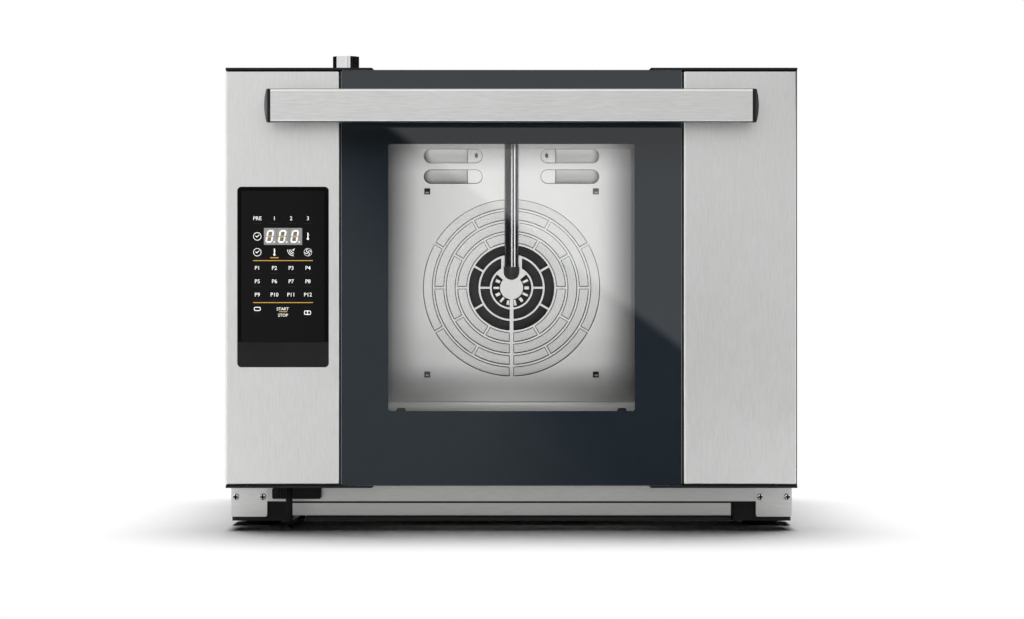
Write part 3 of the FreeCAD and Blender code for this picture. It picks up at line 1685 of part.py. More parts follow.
def handle_bar():
    """Hollow rectangular handle bar across the door."""
    body = doc.addObject("PartDesign::Body", "handle_bar")
    half_length = d.handle_length / 2
    y = (door_front - d.handle_reach, door_front - d.handle_reach + d.handle_thick)
    z = (d.handle_middle - d.handle_height / 2, d.handle_middle + d.handle_height / 2)
    section = sketch_on(body, "YZ_Plane", -half_length)
    draw_rectangle(section, y, z)
    add_feature(body, "Pad", section, d.handle_length)
    add_fillet(body, d.handle_edge, runs_along("x"))
    bore = sketch_on(body, "YZ_Plane", -half_length)
    wall = d.handle_wall
    draw_rectangle(bore, (y[0] + wall, y[1] - wall), (z[0] + wall, z[1] - wall))
    add_feature(body, "Pocket", bore, d.handle_length, backwards=True)
    return body


def handle_caps():
    """Domed end caps of the handle."""
    caps = []
    y = (door_front - d.handle_reach, door_front - d.handle_reach + d.handle_thick)
    z = (d.handle_middle - d.handle_height / 2, d.handle_middle + d.handle_height / 2)
    half_length = d.handle_length / 2
    end = half_length + d.handle_cap + d.handle_bulge
    half_height = d.handle_height / 2
    dome = (half_height * half_height / d.handle_bulge + d.handle_bulge) / 2
    for side in SIDES:
        block = box("handle_cap_block", mirrored(side, half_length, end), y, z)
        rounded = soften("handle_cap_bar", block, d.handle_edge, runs_along("x"))
        centre = (side * (end - dome), d.handle_middle)
        turned = round_bar("handle_cap_dome", "y", dome, beyond(y), centre)
        caps.append(common("handle_cap", rounded, turned))
    return group("handle_caps", caps)


def handle_posts():
    """Posts that hold the handle bar off the door."""
    posts = []
    y = (door_front - d.handle_reach + d.handle_thick, door_front)
    half, rise = d.post_width / 2, d.post_height / 2
    for side in SIDES:
        x = side * d.post_spacing / 2
        block = box("post_block", (x - half, x + half), y, (d.handle_middle - rise, d.handle_middle + rise))
        posts.append(soften("handle_post", block, d.post_edge, runs_along("y")))
    return group("handle_posts", posts)


# Control panel


def control_bezel():
    """Moulded housing of the control panel, with a recess for the touch glass."""
    body = doc.addObject("PartDesign::Body", "control_bezel")
    x, z = panel_x, panel_z
    outline = sketch_on(body, "XZ_Plane", -panel_front)
    draw_rectangle(outline, x, z)
    add_feature(body, "Pad", outline, d.panel_depth, backwards=True)
    add_fillet(body, d.panel_corner, runs_along("y"))
    add_fillet(body, d.panel_proud * 0.6, lies_at("y", panel_front))
    flange = sketch_on(body, "XZ_Plane", -(door_front + d.skin_sheet))
    out = d.panel_flange
    draw_rectangle(flange, (x[0] - out, x[1] + out), (z[0] - out, z[1] + out))
    add_feature(body, "Pad", flange, d.panel_wall, backwards=True)
    recess = sketch_on(body, "XZ_Plane", -panel_front)
    draw_rectangle(recess, touch_x, touch_z)
    add_feature(body, "Pocket", recess, d.touch_setback + d.touch_glass)
    wall = d.panel_wall
    room = sketch_on(body, "XZ_Plane", -(touch_back + wall))
    draw_rectangle(room, (x[0] + wall, x[1] - wall), (z[0] + wall, z[1] - wall))
    add_feature(body, "Pocket", room, d.panel_depth)
    mouth = sketch_on(body, "XZ_Plane", -panel_front)
    fit = d.panel_fit
    draw_rectangle(
        mouth,
        (display_x[0] - fit, display_x[1] + fit),
        (display_z[0] - fit, display_z[1] + fit),
    )
    add_feature(body, "Pocket", mouth, d.panel_depth)
    return body


def control_glass():
    """Touch glass of the control panel, open over the display."""
    y = (panel_front + d.touch_setback, touch_back)
    fit = d.panel_fit
    pane = box("touch_pane", (touch_x[0] + fit, touch_x[1] - fit), y, (touch_z[0] + fit, touch_z[1] - fit))
    mouth = box(
        "touch_mouth",
        (display_x[0] - fit, display_x[1] + fit),
        beyond(y),
        (display_z[0] - fit, display_z[1] + fit),
    )
    return cut("control_glass", pane, mouth)


def display_module():
    """Display block behind the opening in the touch glass."""
    return box("display_module", display_x, (display_front, display_back), display_z)


def control_board():
    """Circuit board in the control panel, behind the display."""
    margin = d.board_margin
    x = (panel_x[0] + margin, panel_x[1] - margin)
    z = (panel_z[0] + margin, panel_z[1] - margin)
    board = box("board_sheet", x, (display_back, display_back + d.board_thick), z)
    stud_inset = d.board_margin + d.pillar_radius
    studs = [
        round_bar("board_stud", "y", d.pillar_radius, (touch_back + d.panel_wall, display_back), (sx, sz))
        for sx in (x[0] + stud_inset, x[1] - stud_inset)
        for sz in (z[0] + stud_inset, z[1] - stud_inset)
    ]
    return fuse("control_board", board, *studs)


# Control cable


def door_cable():
    """Lead of the control panel from the door, down and back into the base."""
    path = bent_path(
        [
            point(cable_x, cable_y, d.door_bottom + d.cap_thick + 2 * d.frame_wall),
            point(cable_x, cable_y, d.cable_low),
            point(cable_end_x, cable_end_y, d.cable_low),
            point(cable_end_x, cable_end_y, d.cable_end),
        ],
        d.cable_bend.value,
    )
    return shaped("door_cable", swept_tube(path, d.cable_radius.value))


def cable_grommet():
    """Rubber grommet where the control cable enters the base."""
    at = (cable_end_x, cable_end_y)
    flange = grommet_neck + d.grommet_flange
    neck = round_bar("grommet_neck", "z", grommet_neck, (d.base_height, base_top), at)
    below_z = (d.base_height - d.grommet_thick, d.base_height)
    above_z = (base_top, base_top + d.grommet_thick)
    flanges = [round_bar("grommet_rim", "z", flange, z, at) for z in (below_z, above_z)]
    bore = round_bar("grommet_bore", "z", d.cable_radius, beyond((below_z[0], above_z[1])), at)
    return cut("cable_grommet", fuse("grommet_blank", neck, *flanges), bore)


def cable_block():
    """Ribbed block on the fascia, behind the control cable."""
    left = cable_x - d.clip_block_left
    back = body_front - d.casing_sheet
    y = (back - d.clip_block_depth, back)
    z = (d.clip_block_bottom, d.clip_block_top)
    block = box("cable_block_blank", (left, left + d.clip_block_width), y, z)
    groove = d.clip_block_groove
    groove_y = (y[0] - groove, y[0] + groove)
    grooves = [
        box("block_groove", (left + n * groove, left + (n + 1) * groove), groove_y, beyond(z))
        for n in (4, 6, 8)
    ]
    return cut("cable_block", soften("cable_block_eased", block, d.tab_corner, runs_along("y")), *grooves)


# Places that more than one sub-part uses

vent_span = (d.vent_rows - 1) * 3 * d.vent_height
grommet_neck = d.cable_radius + d.grommet_thick
bush_radius = d.pin_radius + d.bush_wall
cheek_inner = arm_inner - d.arm_gap - d.cheek_thick
cheek_outer = arm_outer + d.spring_room + d.cheek_thick
panel_x = (-half_width + d.panel_side, -half_width + d.panel_side + d.panel_width)
panel_z = (d.panel_bottom, d.panel_bottom + d.panel_height)
panel_front = door_front - d.panel_proud
touch_x = (panel_x[0] + d.panel_rim, panel_x[1] - d.panel_rim)
touch_z = (panel_z[0] + d.panel_lip, panel_z[1] - d.panel_rim)
touch_back = panel_front + d.touch_setback + d.touch_glass
display_x = (panel_x[0] + d.display_left, panel_x[0] + d.display_left + d.display_width)
display_z = (panel_z[1] - d.display_drop - d.display_height, panel_z[1] - d.display_drop)
display_front = panel_front + d.touch_setback + d.display_setback
display_back = display_front + d.display_depth

SINGLE = [
    base_plate,
    base_skirt,
    front_fascia,
    casing_screws,
    rear_panel,
    top_panel,
    corner_feet,
    foot_pads,
    cable_gland,
    front_frame,
    door_gasket,
    cavity_shell,
    cavity_rear_wall,
    insulation_blanket,
    fan_guard,
    guard_posts,
    guard_fasteners,
    guard_stiffener,
    tray_racks,
    fan_wheel,
    fan_nut,
    motor_shaft,
    motor_housing,
    motor_bearings,
    motor_plate,
    heating_element,
    temperature_probe,
    steam_pipe,
    steam_nozzle,
    water_tube,
    water_valve,
    chimney,
    power_board,
    hinge_arms,
    hinge_bushes,
    hinge_pins,
    hinge_brackets,
    hinge_springs,
    outer_glass,
    inner_glass,
    glass_clips,
    door_frames,
    door_caps,
    door_inner_panel,
    glass_rails,
    light_bars,
    handle_bar,
    handle_caps,
    handle_posts,
    control_bezel,
    control_glass,
    display_module,
    control_board,
    door_cable,
    cable_grommet,
    cable_block,
]
PAIRED = [side_panel, door_skin]

subparts = [make() for make in SINGLE]
subparts += [make(side) for make in PAIRED for side in SIDES]
doc.recompute()

# Every object must have come out sound before anything is written
for thing in doc.Objects:
    if "Invalid" in thing.State or "Error" in thing.State:
        raise RuntimeError(f"{thing.Label} did not recompute: {thing.State}")
for thing in subparts:
    if thing.Shape.isNull() or not thing.Shape.isValid() or not thing.Shape.Solids:
        raise RuntimeError(f"{thing.Label} is not a sound solid")

os.makedirs("parts", exist_ok=True)
for thing in subparts:
    thing.Shape.exportStep(f"parts/{thing.Label}.step")
print(f"{len(subparts)} sub-parts written")
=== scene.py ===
import json
import math

import bmesh
import bpy
from mathutils import Matrix, Vector


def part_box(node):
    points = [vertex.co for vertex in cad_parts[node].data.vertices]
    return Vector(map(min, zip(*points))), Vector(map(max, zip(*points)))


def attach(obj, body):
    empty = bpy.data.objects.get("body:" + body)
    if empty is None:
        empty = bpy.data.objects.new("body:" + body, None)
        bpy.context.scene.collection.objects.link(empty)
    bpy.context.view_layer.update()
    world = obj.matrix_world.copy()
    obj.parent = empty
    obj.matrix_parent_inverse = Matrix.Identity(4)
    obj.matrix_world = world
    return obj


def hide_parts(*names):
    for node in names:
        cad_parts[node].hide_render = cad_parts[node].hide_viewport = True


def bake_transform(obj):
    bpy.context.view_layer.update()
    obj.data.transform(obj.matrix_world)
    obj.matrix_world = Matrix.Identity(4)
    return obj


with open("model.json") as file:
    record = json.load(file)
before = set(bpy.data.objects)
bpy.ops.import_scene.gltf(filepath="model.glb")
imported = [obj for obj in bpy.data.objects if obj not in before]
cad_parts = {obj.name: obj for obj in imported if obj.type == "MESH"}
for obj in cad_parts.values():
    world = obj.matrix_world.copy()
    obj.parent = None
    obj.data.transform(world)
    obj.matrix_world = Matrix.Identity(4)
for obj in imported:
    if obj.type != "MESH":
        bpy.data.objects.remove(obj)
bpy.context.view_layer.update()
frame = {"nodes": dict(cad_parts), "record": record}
nodes = frame["nodes"]
scene = bpy.context.scene
scene.view_settings.view_transform = "Standard"

MM = 0.001

# The photograph: a pixel's size at the door's front face, and the pixel straight ahead of the camera
PIXEL = 1.049 * MM
PHOTO_WIDTH = 1024
AHEAD_X, AHEAD_Y = 511.5, 309.5
EYE_DISTANCE = 3.3
EYE_HEIGHT = 0.2313
DOOR_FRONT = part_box("door_skin_left")[0].y


def photo_place(px, py, y=DOOR_FRONT):
    """X and Z of a pixel of the photograph on the upright plane at y."""
    scale = PIXEL * (1 + (y - DOOR_FRONT) / EYE_DISTANCE)
    return (px - AHEAD_X) * scale, EYE_HEIGHT + (AHEAD_Y - py) * scale


def make_camera():
    """A level camera in front of the door."""
    data = bpy.data.cameras.new("camera")
    data.sensor_width = 36
    data.lens = data.sensor_width * EYE_DISTANCE / (PHOTO_WIDTH * PIXEL)
    data.clip_end = 50
    camera = bpy.data.objects.new("camera", data)
    camera.location = ((PHOTO_WIDTH / 2 - AHEAD_X) * PIXEL, DOOR_FRONT - EYE_DISTANCE, EYE_HEIGHT)
    camera.rotation_euler = (math.radians(90), 0, 0)
    scene.collection.objects.link(camera)
    scene.camera = camera


# Node helpers

LOOKS = {}


def blank(name):
    """The node tree and the shader of a new material, which LOOKS then holds under its name."""
    made = bpy.data.materials.new(name)
    made.use_nodes = True
    LOOKS[name] = made
    return made.node_tree, made.node_tree.nodes["Principled BSDF"]


def set_sockets(node, **values):
    """Plain values on a node's sockets; an underscore in a name stands for a space."""
    for name, value in values.items():
        socket = node.inputs[name.replace("_", " ")]
        socket.default_value = (*value, 1.0) if isinstance(value, tuple) and len(value) == 3 else value


def row_place(tree):
    """Coordinates in the row's own frame, in metres."""
    return tree.nodes.new("ShaderNodeTexCoord").outputs["Object"]


def row_axes(tree):
    """The row's coordinates as separate values of X, Y and Z."""
    axes = tree.nodes.new("ShaderNodeSeparateXYZ")
    tree.links.new(row_place(tree), axes.inputs["Vector"])
    return axes.outputs


def noise(tree, scale, detail=4.0, roughness=0.6):
    """Noise over the row's coordinates, with a scale per metre on each axis."""
    stretch = tree.nodes.new("ShaderNodeMapping")
    stretch.inputs["Scale"].default_value = scale
    tree.links.new(row_place(tree), stretch.inputs["Vector"])
    node = tree.nodes.new("ShaderNodeTexNoise")
    set_sockets(node, Scale=1.0, Detail=detail, Roughness=roughness)
    tree.links.new(stretch.outputs["Vector"], node.inputs["Vector"])
    return node.outputs["Fac"]


def spread(tree, value, low, high, start=0.3, end=0.7, soft=False):
    """The value's range from start to end, stretched to low and high."""
    node = tree.nodes.new("ShaderNodeMapRange")
    if soft:
        node.interpolation_type = "SMOOTHSTEP"
    set_sockets(node, From_Min=start, From_Max=end, To_Min=low, To_Max=high)
    tree.links.new(value, node.inputs["Value"])
    return node.outputs["Result"]


def combine(tree, operation, first, second):
    """A math node on two values, of which the second may be a number."""
    node = tree.nodes.new("ShaderNodeMath")
    node.operation = operation
    tree.links.new(first, node.inputs[0])
    if isinstance(second, (int, float)):
        node.inputs[1].default_value = second
    else:
        tree.links.new(second, node.inputs[1])
    return node.outputs["Value"]


def average(tree, first, second, share):
    """Two values mixed, with the given share of the second."""
    node = tree.nodes.new("ShaderNodeMix")
    node.data_type = "FLOAT"
    set_sockets(node, Factor=share)
    tree.links.new(first, node.inputs["A"])
    tree.links.new(second, node.inputs["B"])
    return node.outputs["Result"]


def tint(tree, value, low, high, start=0.3, end=0.7):
    """A colour between low and high by a value."""
    ramp = tree.nodes.new("ShaderNodeValToRGB")
    for element, position, colour in zip(ramp.color_ramp.elements, (start, end), (low, high)):
        element.position = position
        element.color = (*colour, 1.0)
    tree.links.new(value, ramp.inputs["Fac"])
    return ramp.outputs["Color"]


def shade(colour, factor):
    """A colour made lighter or darker."""
    return tuple(min(1.0, channel * factor) for channel in colour)


def shades(colour, contrast):
    """A darker and a lighter tone of a colour."""
    return shade(colour, 1 - contrast), shade(colour, 1 + contrast)


def add_bump(tree, shader, value, strength, distance):
    """Bump on a shader from a value."""
    bump = tree.nodes.new("ShaderNodeBump")
    set_sockets(bump, Strength=strength, Distance=distance)
    tree.links.new(value, bump.inputs["Height"])
    tree.links.new(bump.outputs["Normal"], shader.inputs["Normal"])


# Materials

# Sockets of a Mix node that mixes colours
MIX_FACTOR, MIX_FIRST, MIX_SECOND, MIX_RESULT = 0, 6, 7, 2
HAIR_GRAIN = (30.0, 2600.0)
# Painted shade inside the fan wheel: how unevenly it spreads, and where it starts and ends behind the
# front
SHADE_SPREAD, SHADE_START, SHADE_END = 4 * MM, 3 * MM, 9 * MM


def along_grain(axis, along, across):
    """Noise scales that draw streaks along an axis."""
    return tuple(along if name == axis else across for name in "xyz")


def toned(tree, colour, tone):
    """A colour times a grey tone."""
    node = tree.nodes.new("ShaderNodeMix")
    node.data_type = "RGBA"
    node.blend_type = "MULTIPLY"
    node.inputs[MIX_FACTOR].default_value = 1.0
    tree.links.new(colour, node.inputs[MIX_FIRST])
    tree.links.new(tone, node.inputs[MIX_SECOND])
    return node.outputs[MIX_RESULT]


def tone_bands(tree, axis, stops):
    """Grey tones along an axis, from stops of a place and a tone."""
    first, last = stops[0][0], stops[-1][0]
    ramp = tree.nodes.new("ShaderNodeValToRGB")
    elements = ramp.color_ramp.elements
    for _ in stops[2:]:
        elements.new(0.5)
    for element, (place, tone) in zip(elements, stops):
        element.position = (place - first) / (last - first)
        element.color = (tone, tone, tone, 1.0)
    along = spread(tree, row_axes(tree)[axis], 0.0, 1.0, first, last)
    tree.links.new(along, ramp.inputs["Fac"])
    return ramp.outputs["Color"]


def banded(tree, colour, bands):
    """A colour with tones along one or more axes."""
    for axis, stops in bands:
        colour = toned(tree, colour, tone_bands(tree, axis, stops))
    return colour


def brushed(
    name,
    colour,
    grain,
    rough=(0.3, 0.4),
    contrast=0.1,
    streak=(75.0, 650.0),
    metallic=1.0,
    gloss=0.5,
    bands=(),
):
    """Brushed sheet metal; grain is the axis that the brushing runs along."""
    tree, shader = blank(name)
    set_sockets(shader, Metallic=metallic, Specular_IOR_Level=gloss)
    streaks = noise(tree, along_grain(grain, *streak), detail=3.0, roughness=0.55)
    hairs = noise(tree, along_grain(grain, *HAIR_GRAIN), detail=3.0)
    clouds = noise(tree, (9.0,) * 3, detail=3.0)
    surface = average(tree, average(tree, streaks, hairs, share=0.35), clouds, share=0.2)
    finish = banded(tree, tint(tree, surface, *shades(colour, contrast)), bands)
    tree.links.new(finish, shader.inputs["Base Color"])
    tree.links.new(spread(tree, surface, *rough), shader.inputs["Roughness"])
    add_bump(tree, shader, hairs, strength=0.12, distance=0.03 * MM)


def cloudy_metal(name, colour, rough=(0.25, 0.4), contrast=0.05, metallic=1.0, scale=40.0):
    """Metal with a cloudy finish and faint marks."""
    tree, shader = blank(name)
    set_sockets(shader, Metallic=metallic)
    clouds = noise(tree, (scale,) * 3, detail=5.0)
    tree.links.new(tint(tree, clouds, *shades(colour, contrast)), shader.inputs["Base Color"])
    tree.links.new(spread(tree, clouds, *rough), shader.inputs["Roughness"])


def moulded(
    name,
    colour,
    rough=(0.45, 0.6),
    texture=0.25,
    contrast=0.12,
    scale=2500.0,
    gloss=0.5,
    bands=(),
):
    """Moulded plastic, coating or rubber with a fine texture."""
    tree, shader = blank(name)
    shader.inputs["Specular IOR Level"].default_value = gloss
    grains = noise(tree, (scale,) * 3, detail=2.0)
    clouds = noise(tree, (25.0,) * 3, detail=3.0)
    finish = banded(tree, tint(tree, clouds, *shades(colour, contrast)), bands)
    tree.links.new(finish, shader.inputs["Base Color"])
    tree.links.new(spread(tree, clouds, *rough), shader.inputs["Roughness"])
    add_bump(tree, shader, grains, strength=texture, distance=0.05 * MM)


def pane(name, colour):
    """Clear glass that lets lamps reach what is behind it."""
    tree, shader = blank(name)
    set_sockets(shader, Base_Color=colour, Roughness=0.0, IOR=1.4, Transmission_Weight=1.0)
    path = tree.nodes.new("ShaderNodeLightPath")
    clear = tree.nodes.new("ShaderNodeBsdfTransparent")
    clear.inputs["Color"].default_value = (*colour, 1.0)
    mix = tree.nodes.new("ShaderNodeMixShader")
    lit = combine(tree, "MAXIMUM", path.outputs["Is Shadow Ray"], path.outputs["Is Diffuse Ray"])
    tree.links.new(lit, mix.inputs["Fac"])
    tree.links.new(shader.outputs["BSDF"], mix.inputs[1])
    tree.links.new(clear.outputs["BSDF"], mix.inputs[2])
    tree.links.new(mix.outputs["Shader"], tree.nodes["Material Output"].inputs["Surface"])


def glowing(name, colour, strength):
    """A printed mark or lamp cover that shines a little."""
    tree, shader = blank(name)
    set_sockets(shader, Roughness=0.4, Emission_Color=colour, Emission_Strength=strength)
    clouds = noise(tree, (900.0,) * 3, detail=2.0)
    tree.links.new(tint(tree, clouds, *shades(colour, contrast=0.06)), shader.inputs["Base Color"])


def fan_with_painted_shade(name, lit_colour, dark):
    """Fan steel, plain on the front ring, with painted shade darkening it deeper inside the wheel."""
    tree, shader = blank(name)
    set_sockets(shader, Metallic=0.25)
    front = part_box("fan_wheel")[0].y
    depth = combine(tree, "ADD", row_axes(tree)["Y"], -front)
    clouds = noise(tree, (60.0,) * 3, detail=4.0)
    uneven = combine(tree, "MULTIPLY", clouds, SHADE_SPREAD)
    inside = spread(tree, combine(tree, "ADD", depth, uneven), 0.0, 1.0, SHADE_START, SHADE_END)
    tree.links.new(tint(tree, inside, lit_colour, dark, 0.0, 1.0), shader.inputs["Base Color"])
    tree.links.new(spread(tree, clouds, 0.38, 0.5), shader.inputs["Roughness"])


FACE_TONE, STRIP_TONE = 0.77, 0.82
LIP_BLEND, RIM_TONE = 0.2 * MM, 0.1
CABLE_RADIUS = 3.5 * MM
CABLE_BEND, UNDER_BASE_SHADE = 2.2 * CABLE_RADIUS, 0.1

# Tones over some pieces, as pairs of a distance in millimetres from an edge and a tone, all of them
# painted
# light: a painted reflection pales the handle's dark ends on their rounded outside, the left more than
# the right, a painted reflection makes the fascia's tabs brighter than the strip between them, the left
# more than the right, the handle has a painted highlight near each edge with painted shade at the very
# edge, and painted shade darkens the guard near the walls and the top, with painted light along its foot
# and painted shade just above it

CAP_LEFT = ((0, 0.28), (2.4, 0.21), (2.76, 0.012))
CAP_RIGHT = ((0, 0.075), (2.4, 0.055), (2.76, 0.012))
TAB_LEFT = ((0, 1.0), (38, 1.0), (39.9, STRIP_TONE))
TAB_RIGHT = ((0, 0.88), (38, 0.88), (39.9, STRIP_TONE))
HANDLE_EDGE = ((0, 0.2), (0.9, 0.3), (1.08, 1.0), (2.18, 1.0), (2.54, FACE_TONE))
GUARD_LEFT = ((0, 0.52), (63, 0.66), (90, 0.78), (115, 0.86), (165, 1.0))
GUARD_RIGHT = ((0, 0.44), (62, 0.52), (85, 0.74), (110, 0.94), (150, 1.0))
GUARD_FOOT = ((0, 1.35), (8, 1.02), (15, 0.8), (22, 0.71), (30, 0.75), (45, 0.89), (80, 1.0))
GUARD_TOP = ((0, 0.52), (18, 0.6), (45, 1.0))


def edge_bands(node, axis, rising, falling):
    """An axis and the stops along it, from the tones by a node's lower and its upper edge."""
    low, high = (corner["XYZ".index(axis)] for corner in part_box(node))
    stops = [(low + distance * MM, tone) for distance, tone in rising]
    return axis, stops + [(high - distance * MM, tone) for distance, tone in reversed(falling)]


def bezel_bands():
    """Tones over the control panel's height: a painted dark reflection darkens the rim above the lip
    below the touch glass, so the lip is paler.
    """
    low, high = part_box("control_bezel")
    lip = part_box("control_glass")[0].z
    stops = [(low.z, 1.0), (lip - LIP_BLEND, 1.0), (lip + LIP_BLEND, RIM_TONE), (high.z, RIM_TONE)]
    return [("Z", stops)]


def cable_bands():
    """Tones along the control cable: painted shade darkens it where it lies under the base."""
    low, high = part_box("door_cable")
    bend = low.y + CABLE_BEND
    return [("Y", [(low.y, 1.0), (bend, 1.0), (bend + CABLE_RADIUS, UNDER_BASE_SHADE), (high.y, UNDER_BASE_SHADE)])]


def skin_bands():
    """Tones over the door skins' width: a painted highlight lies along the right skin's inner fold."""
    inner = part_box("door_skin_right")[0].x
    fold = 1.3 * MM
    stops = [(-inner, FACE_TONE), (inner - 1 * MM, FACE_TONE), (inner, 1.0)]
    stops += [(inner + fold, 1.0), (inner + 1.4 * fold, FACE_TONE), (inner + 9 * fold, FACE_TONE)]
    return [("X", stops)]


STEEL = (0.745, 0.75, 0.733)
WHITE_MARK = (0.9, 0.9, 0.88)
AMBER = (0.52, 0.3, 0.06)


def make_looks():
    """Every material of the nodes and pieces."""
    brushed("door_steel", shade(STEEL, 1 / FACE_TONE), "z", bands=skin_bands())
    # A paler copy of the skin steel, as a painted highlight on the left skin's fold
    brushed("fold_highlight_steel", shade(STEEL, 1.2), "z")
    brushed("casing_steel", shade(STEEL, 0.85), "z", rough=(0.34, 0.44))
    # The fascia's tabs are brightened by a painted reflection, the left more than the right
    brushed("strip_steel", STEEL, "x", bands=[edge_bands("front_fascia", "X", TAB_LEFT, TAB_RIGHT)])
    # The handle's steel carries a painted highlight near each edge and painted shade at the very edge
    brushed(
        "handle_steel",
        shade(STEEL, 0.94 / FACE_TONE),
        "x",
        contrast=0.16,
        streak=(55.0, 700.0),
        bands=[edge_bands("handle_bar", "Z", HANDLE_EDGE, HANDLE_EDGE)],
    )
    cloudy_metal("liner_steel", (0.42, 0.42, 0.413), (0.55, 0.65), 0.03, 0.3, 12.0)
    # Painted shade darkens the guard near the walls and the top; painted light brightens its lowest edge
    brushed(
        "guard_steel",
        (0.6, 0.6, 0.597),
        "z",
        (0.45, 0.55),
        0.03,
        metallic=0.0,
        gloss=0.1,
        bands=[
            edge_bands("fan_guard", "X", GUARD_LEFT, GUARD_RIGHT),
            edge_bands("fan_guard", "Z", GUARD_FOOT, GUARD_TOP),
        ],
    )
    cloudy_metal("rear_steel", (0.6, 0.6, 0.59), (0.4, 0.5), 0.03, 0.2, 12.0)
    fan_with_painted_shade("fan_steel", (0.68, 0.68, 0.67), (0.03, 0.03, 0.03))
    cloudy_metal("wire_steel", (0.62, 0.62, 0.62), (0.15, 0.25))
    # The steam pipe's steel is darkened as a painted reflection of the dark surroundings it mirrors
    cloudy_metal("pipe_steel", (0.1, 0.1, 0.103), (0.1, 0.15))
    cloudy_metal("sleeve_steel", (0.8, 0.8, 0.79), (0.3, 0.4), 0.15, 0.1, 300.0)
    # Pale grey for painted glints in the guard's fasteners
    moulded("painted_glint", (0.22, 0.22, 0.21), (0.3, 0.4), 0.1)
    cloudy_metal("fixing_steel", (0.42, 0.42, 0.42), (0.25, 0.4), 0.1)
    cloudy_metal("polished_steel", (0.7, 0.71, 0.72), (0.04, 0.1), 0.02)
    moulded("dark_steel", (0.014, 0.015, 0.017), (0.35, 0.45), 0.1, gloss=0.2)
    cloudy_metal("nozzle_metal", (0.05, 0.05, 0.05), (0.3, 0.45), metallic=0.6)
    cloudy_metal("alloy", (0.55, 0.55, 0.56), (0.45, 0.6), 0.1)
    cloudy_metal("brass", (0.62, 0.48, 0.24), (0.3, 0.45), 0.1)
    cloudy_metal("copper_tube", (0.66, 0.37, 0.25), (0.3, 0.45), 0.1)
    cloudy_metal("element_metal", (0.12, 0.11, 0.11), (0.5, 0.65), 0.15, 0.7)
    pane("door_glass", (0.965, 0.967, 0.965))
    pane("clear_glass", (0.965, 0.967, 0.965))
    moulded("glass_print", (0.0165, 0.026, 0.035), (0.0, 0.02), 0.0, 0.04)
    moulded("touch_glass", (0.003, 0.003, 0.003), (0.1, 0.14), 0.02, gloss=0.12)
    moulded("display_face", (0.42, 0.42, 0.405), (0.3, 0.4), 0.05, 0.06)
    moulded("black_plastic", (0.021, 0.021, 0.021), gloss=0.25)
    # The rail's black plastic is made paler, as painted light for a rail that sits in the base's shade
    moulded("rail_plastic", (0.085, 0.085, 0.085), gloss=0.25)
    # The caps are black, with a painted reflection on their rounded outside
    moulded(
        "cap_plastic",
        (0.9, 0.9, 0.9),
        (0.35, 0.45),
        gloss=0.2,
        bands=[edge_bands("handle_caps", "X", CAP_LEFT, CAP_RIGHT)],
    )
    moulded(
        "bezel_plastic", (0.024, 0.024, 0.024), (0.4, 0.5), gloss=0.05, bands=bezel_bands()
    )
    glowing("light_plastic", (0.9, 0.89, 0.85), 0.8)
    moulded("board", (0.02, 0.12, 0.05), (0.3, 0.45), contrast=0.3, scale=600.0)
    moulded("seal_rubber", (0.018, 0.018, 0.018), (0.55, 0.7), gloss=0.2)
    moulded("foot_rubber", (0.012, 0.012, 0.012), (0.7, 0.85), 0.4, gloss=0.1)
    moulded("wool", (0.6, 0.55, 0.42), (0.9, 1.0), 0.8, 0.2, 300.0)
    glowing("white_mark", WHITE_MARK, 0.55)
    glowing("amber_mark", AMBER, 0.45)
    moulded("dim_mark", (0.013, 0.013, 0.0145), (0.3, 0.4), 0.02, gloss=0.15)
    moulded("grey_mark", (0.2, 0.215, 0.22), (0.3, 0.4), 0.02)
    moulded(
        "cable_sheath", (0.014, 0.014, 0.014), (0.6, 0.7), 0.3, gloss=0.03, bands=cable_bands()
    )
    # Dark lines: real seams in the casing, and painted shade along the guard's openings and the
    # stiffener's sides
    moulded("seam_and_painted_shade", (0.035, 0.034, 0.032), (0.5, 0.6), 0.1, gloss=0.1)
    # Near-black painted shade, for recesses, gaps and spots that stand in for shadow
    moulded("painted_shade_black", (0.006, 0.006, 0.006), (0.5, 0.6), 0.1, gloss=0.1)
    moulded("pane_edge", (0.2, 0.21, 0.215), (0.2, 0.3), 0.02, gloss=0.2)


make_looks()

NODE_LOOK = {
    "front_fascia": "strip_steel",
    "base_skirt": "strip_steel",
    "fan_guard": "guard_steel",
    "guard_stiffener": "guard_steel",
    "fan_wheel": "fan_steel",
    "steam_pipe": "pipe_steel",
    "cavity_rear_wall": "rear_steel",
    "control_bezel": "bezel_plastic",
    "casing_screws": "polished_steel",
    # The guard's fasteners are drawn wholly in painted shade
    "guard_fasteners": "painted_shade_black",
    "handle_caps": "cap_plastic",
}


def dress_nodes():
    """A material on every CAD node: its record slot's, or its own where it differs."""
    slots = {entry["node"]: entry["material_slot"] for entry in frame["record"]["subparts"]}
    for name, node in nodes.items():
        node.data.materials.clear()
        node.data.materials.append(LOOKS[NODE_LOOK.get(name, slots[name])])


# Flat shapes in the XZ plane, pressed into thin plates

STROKE_LAP = 0.6
CAPITAL_SHARE = 0.72


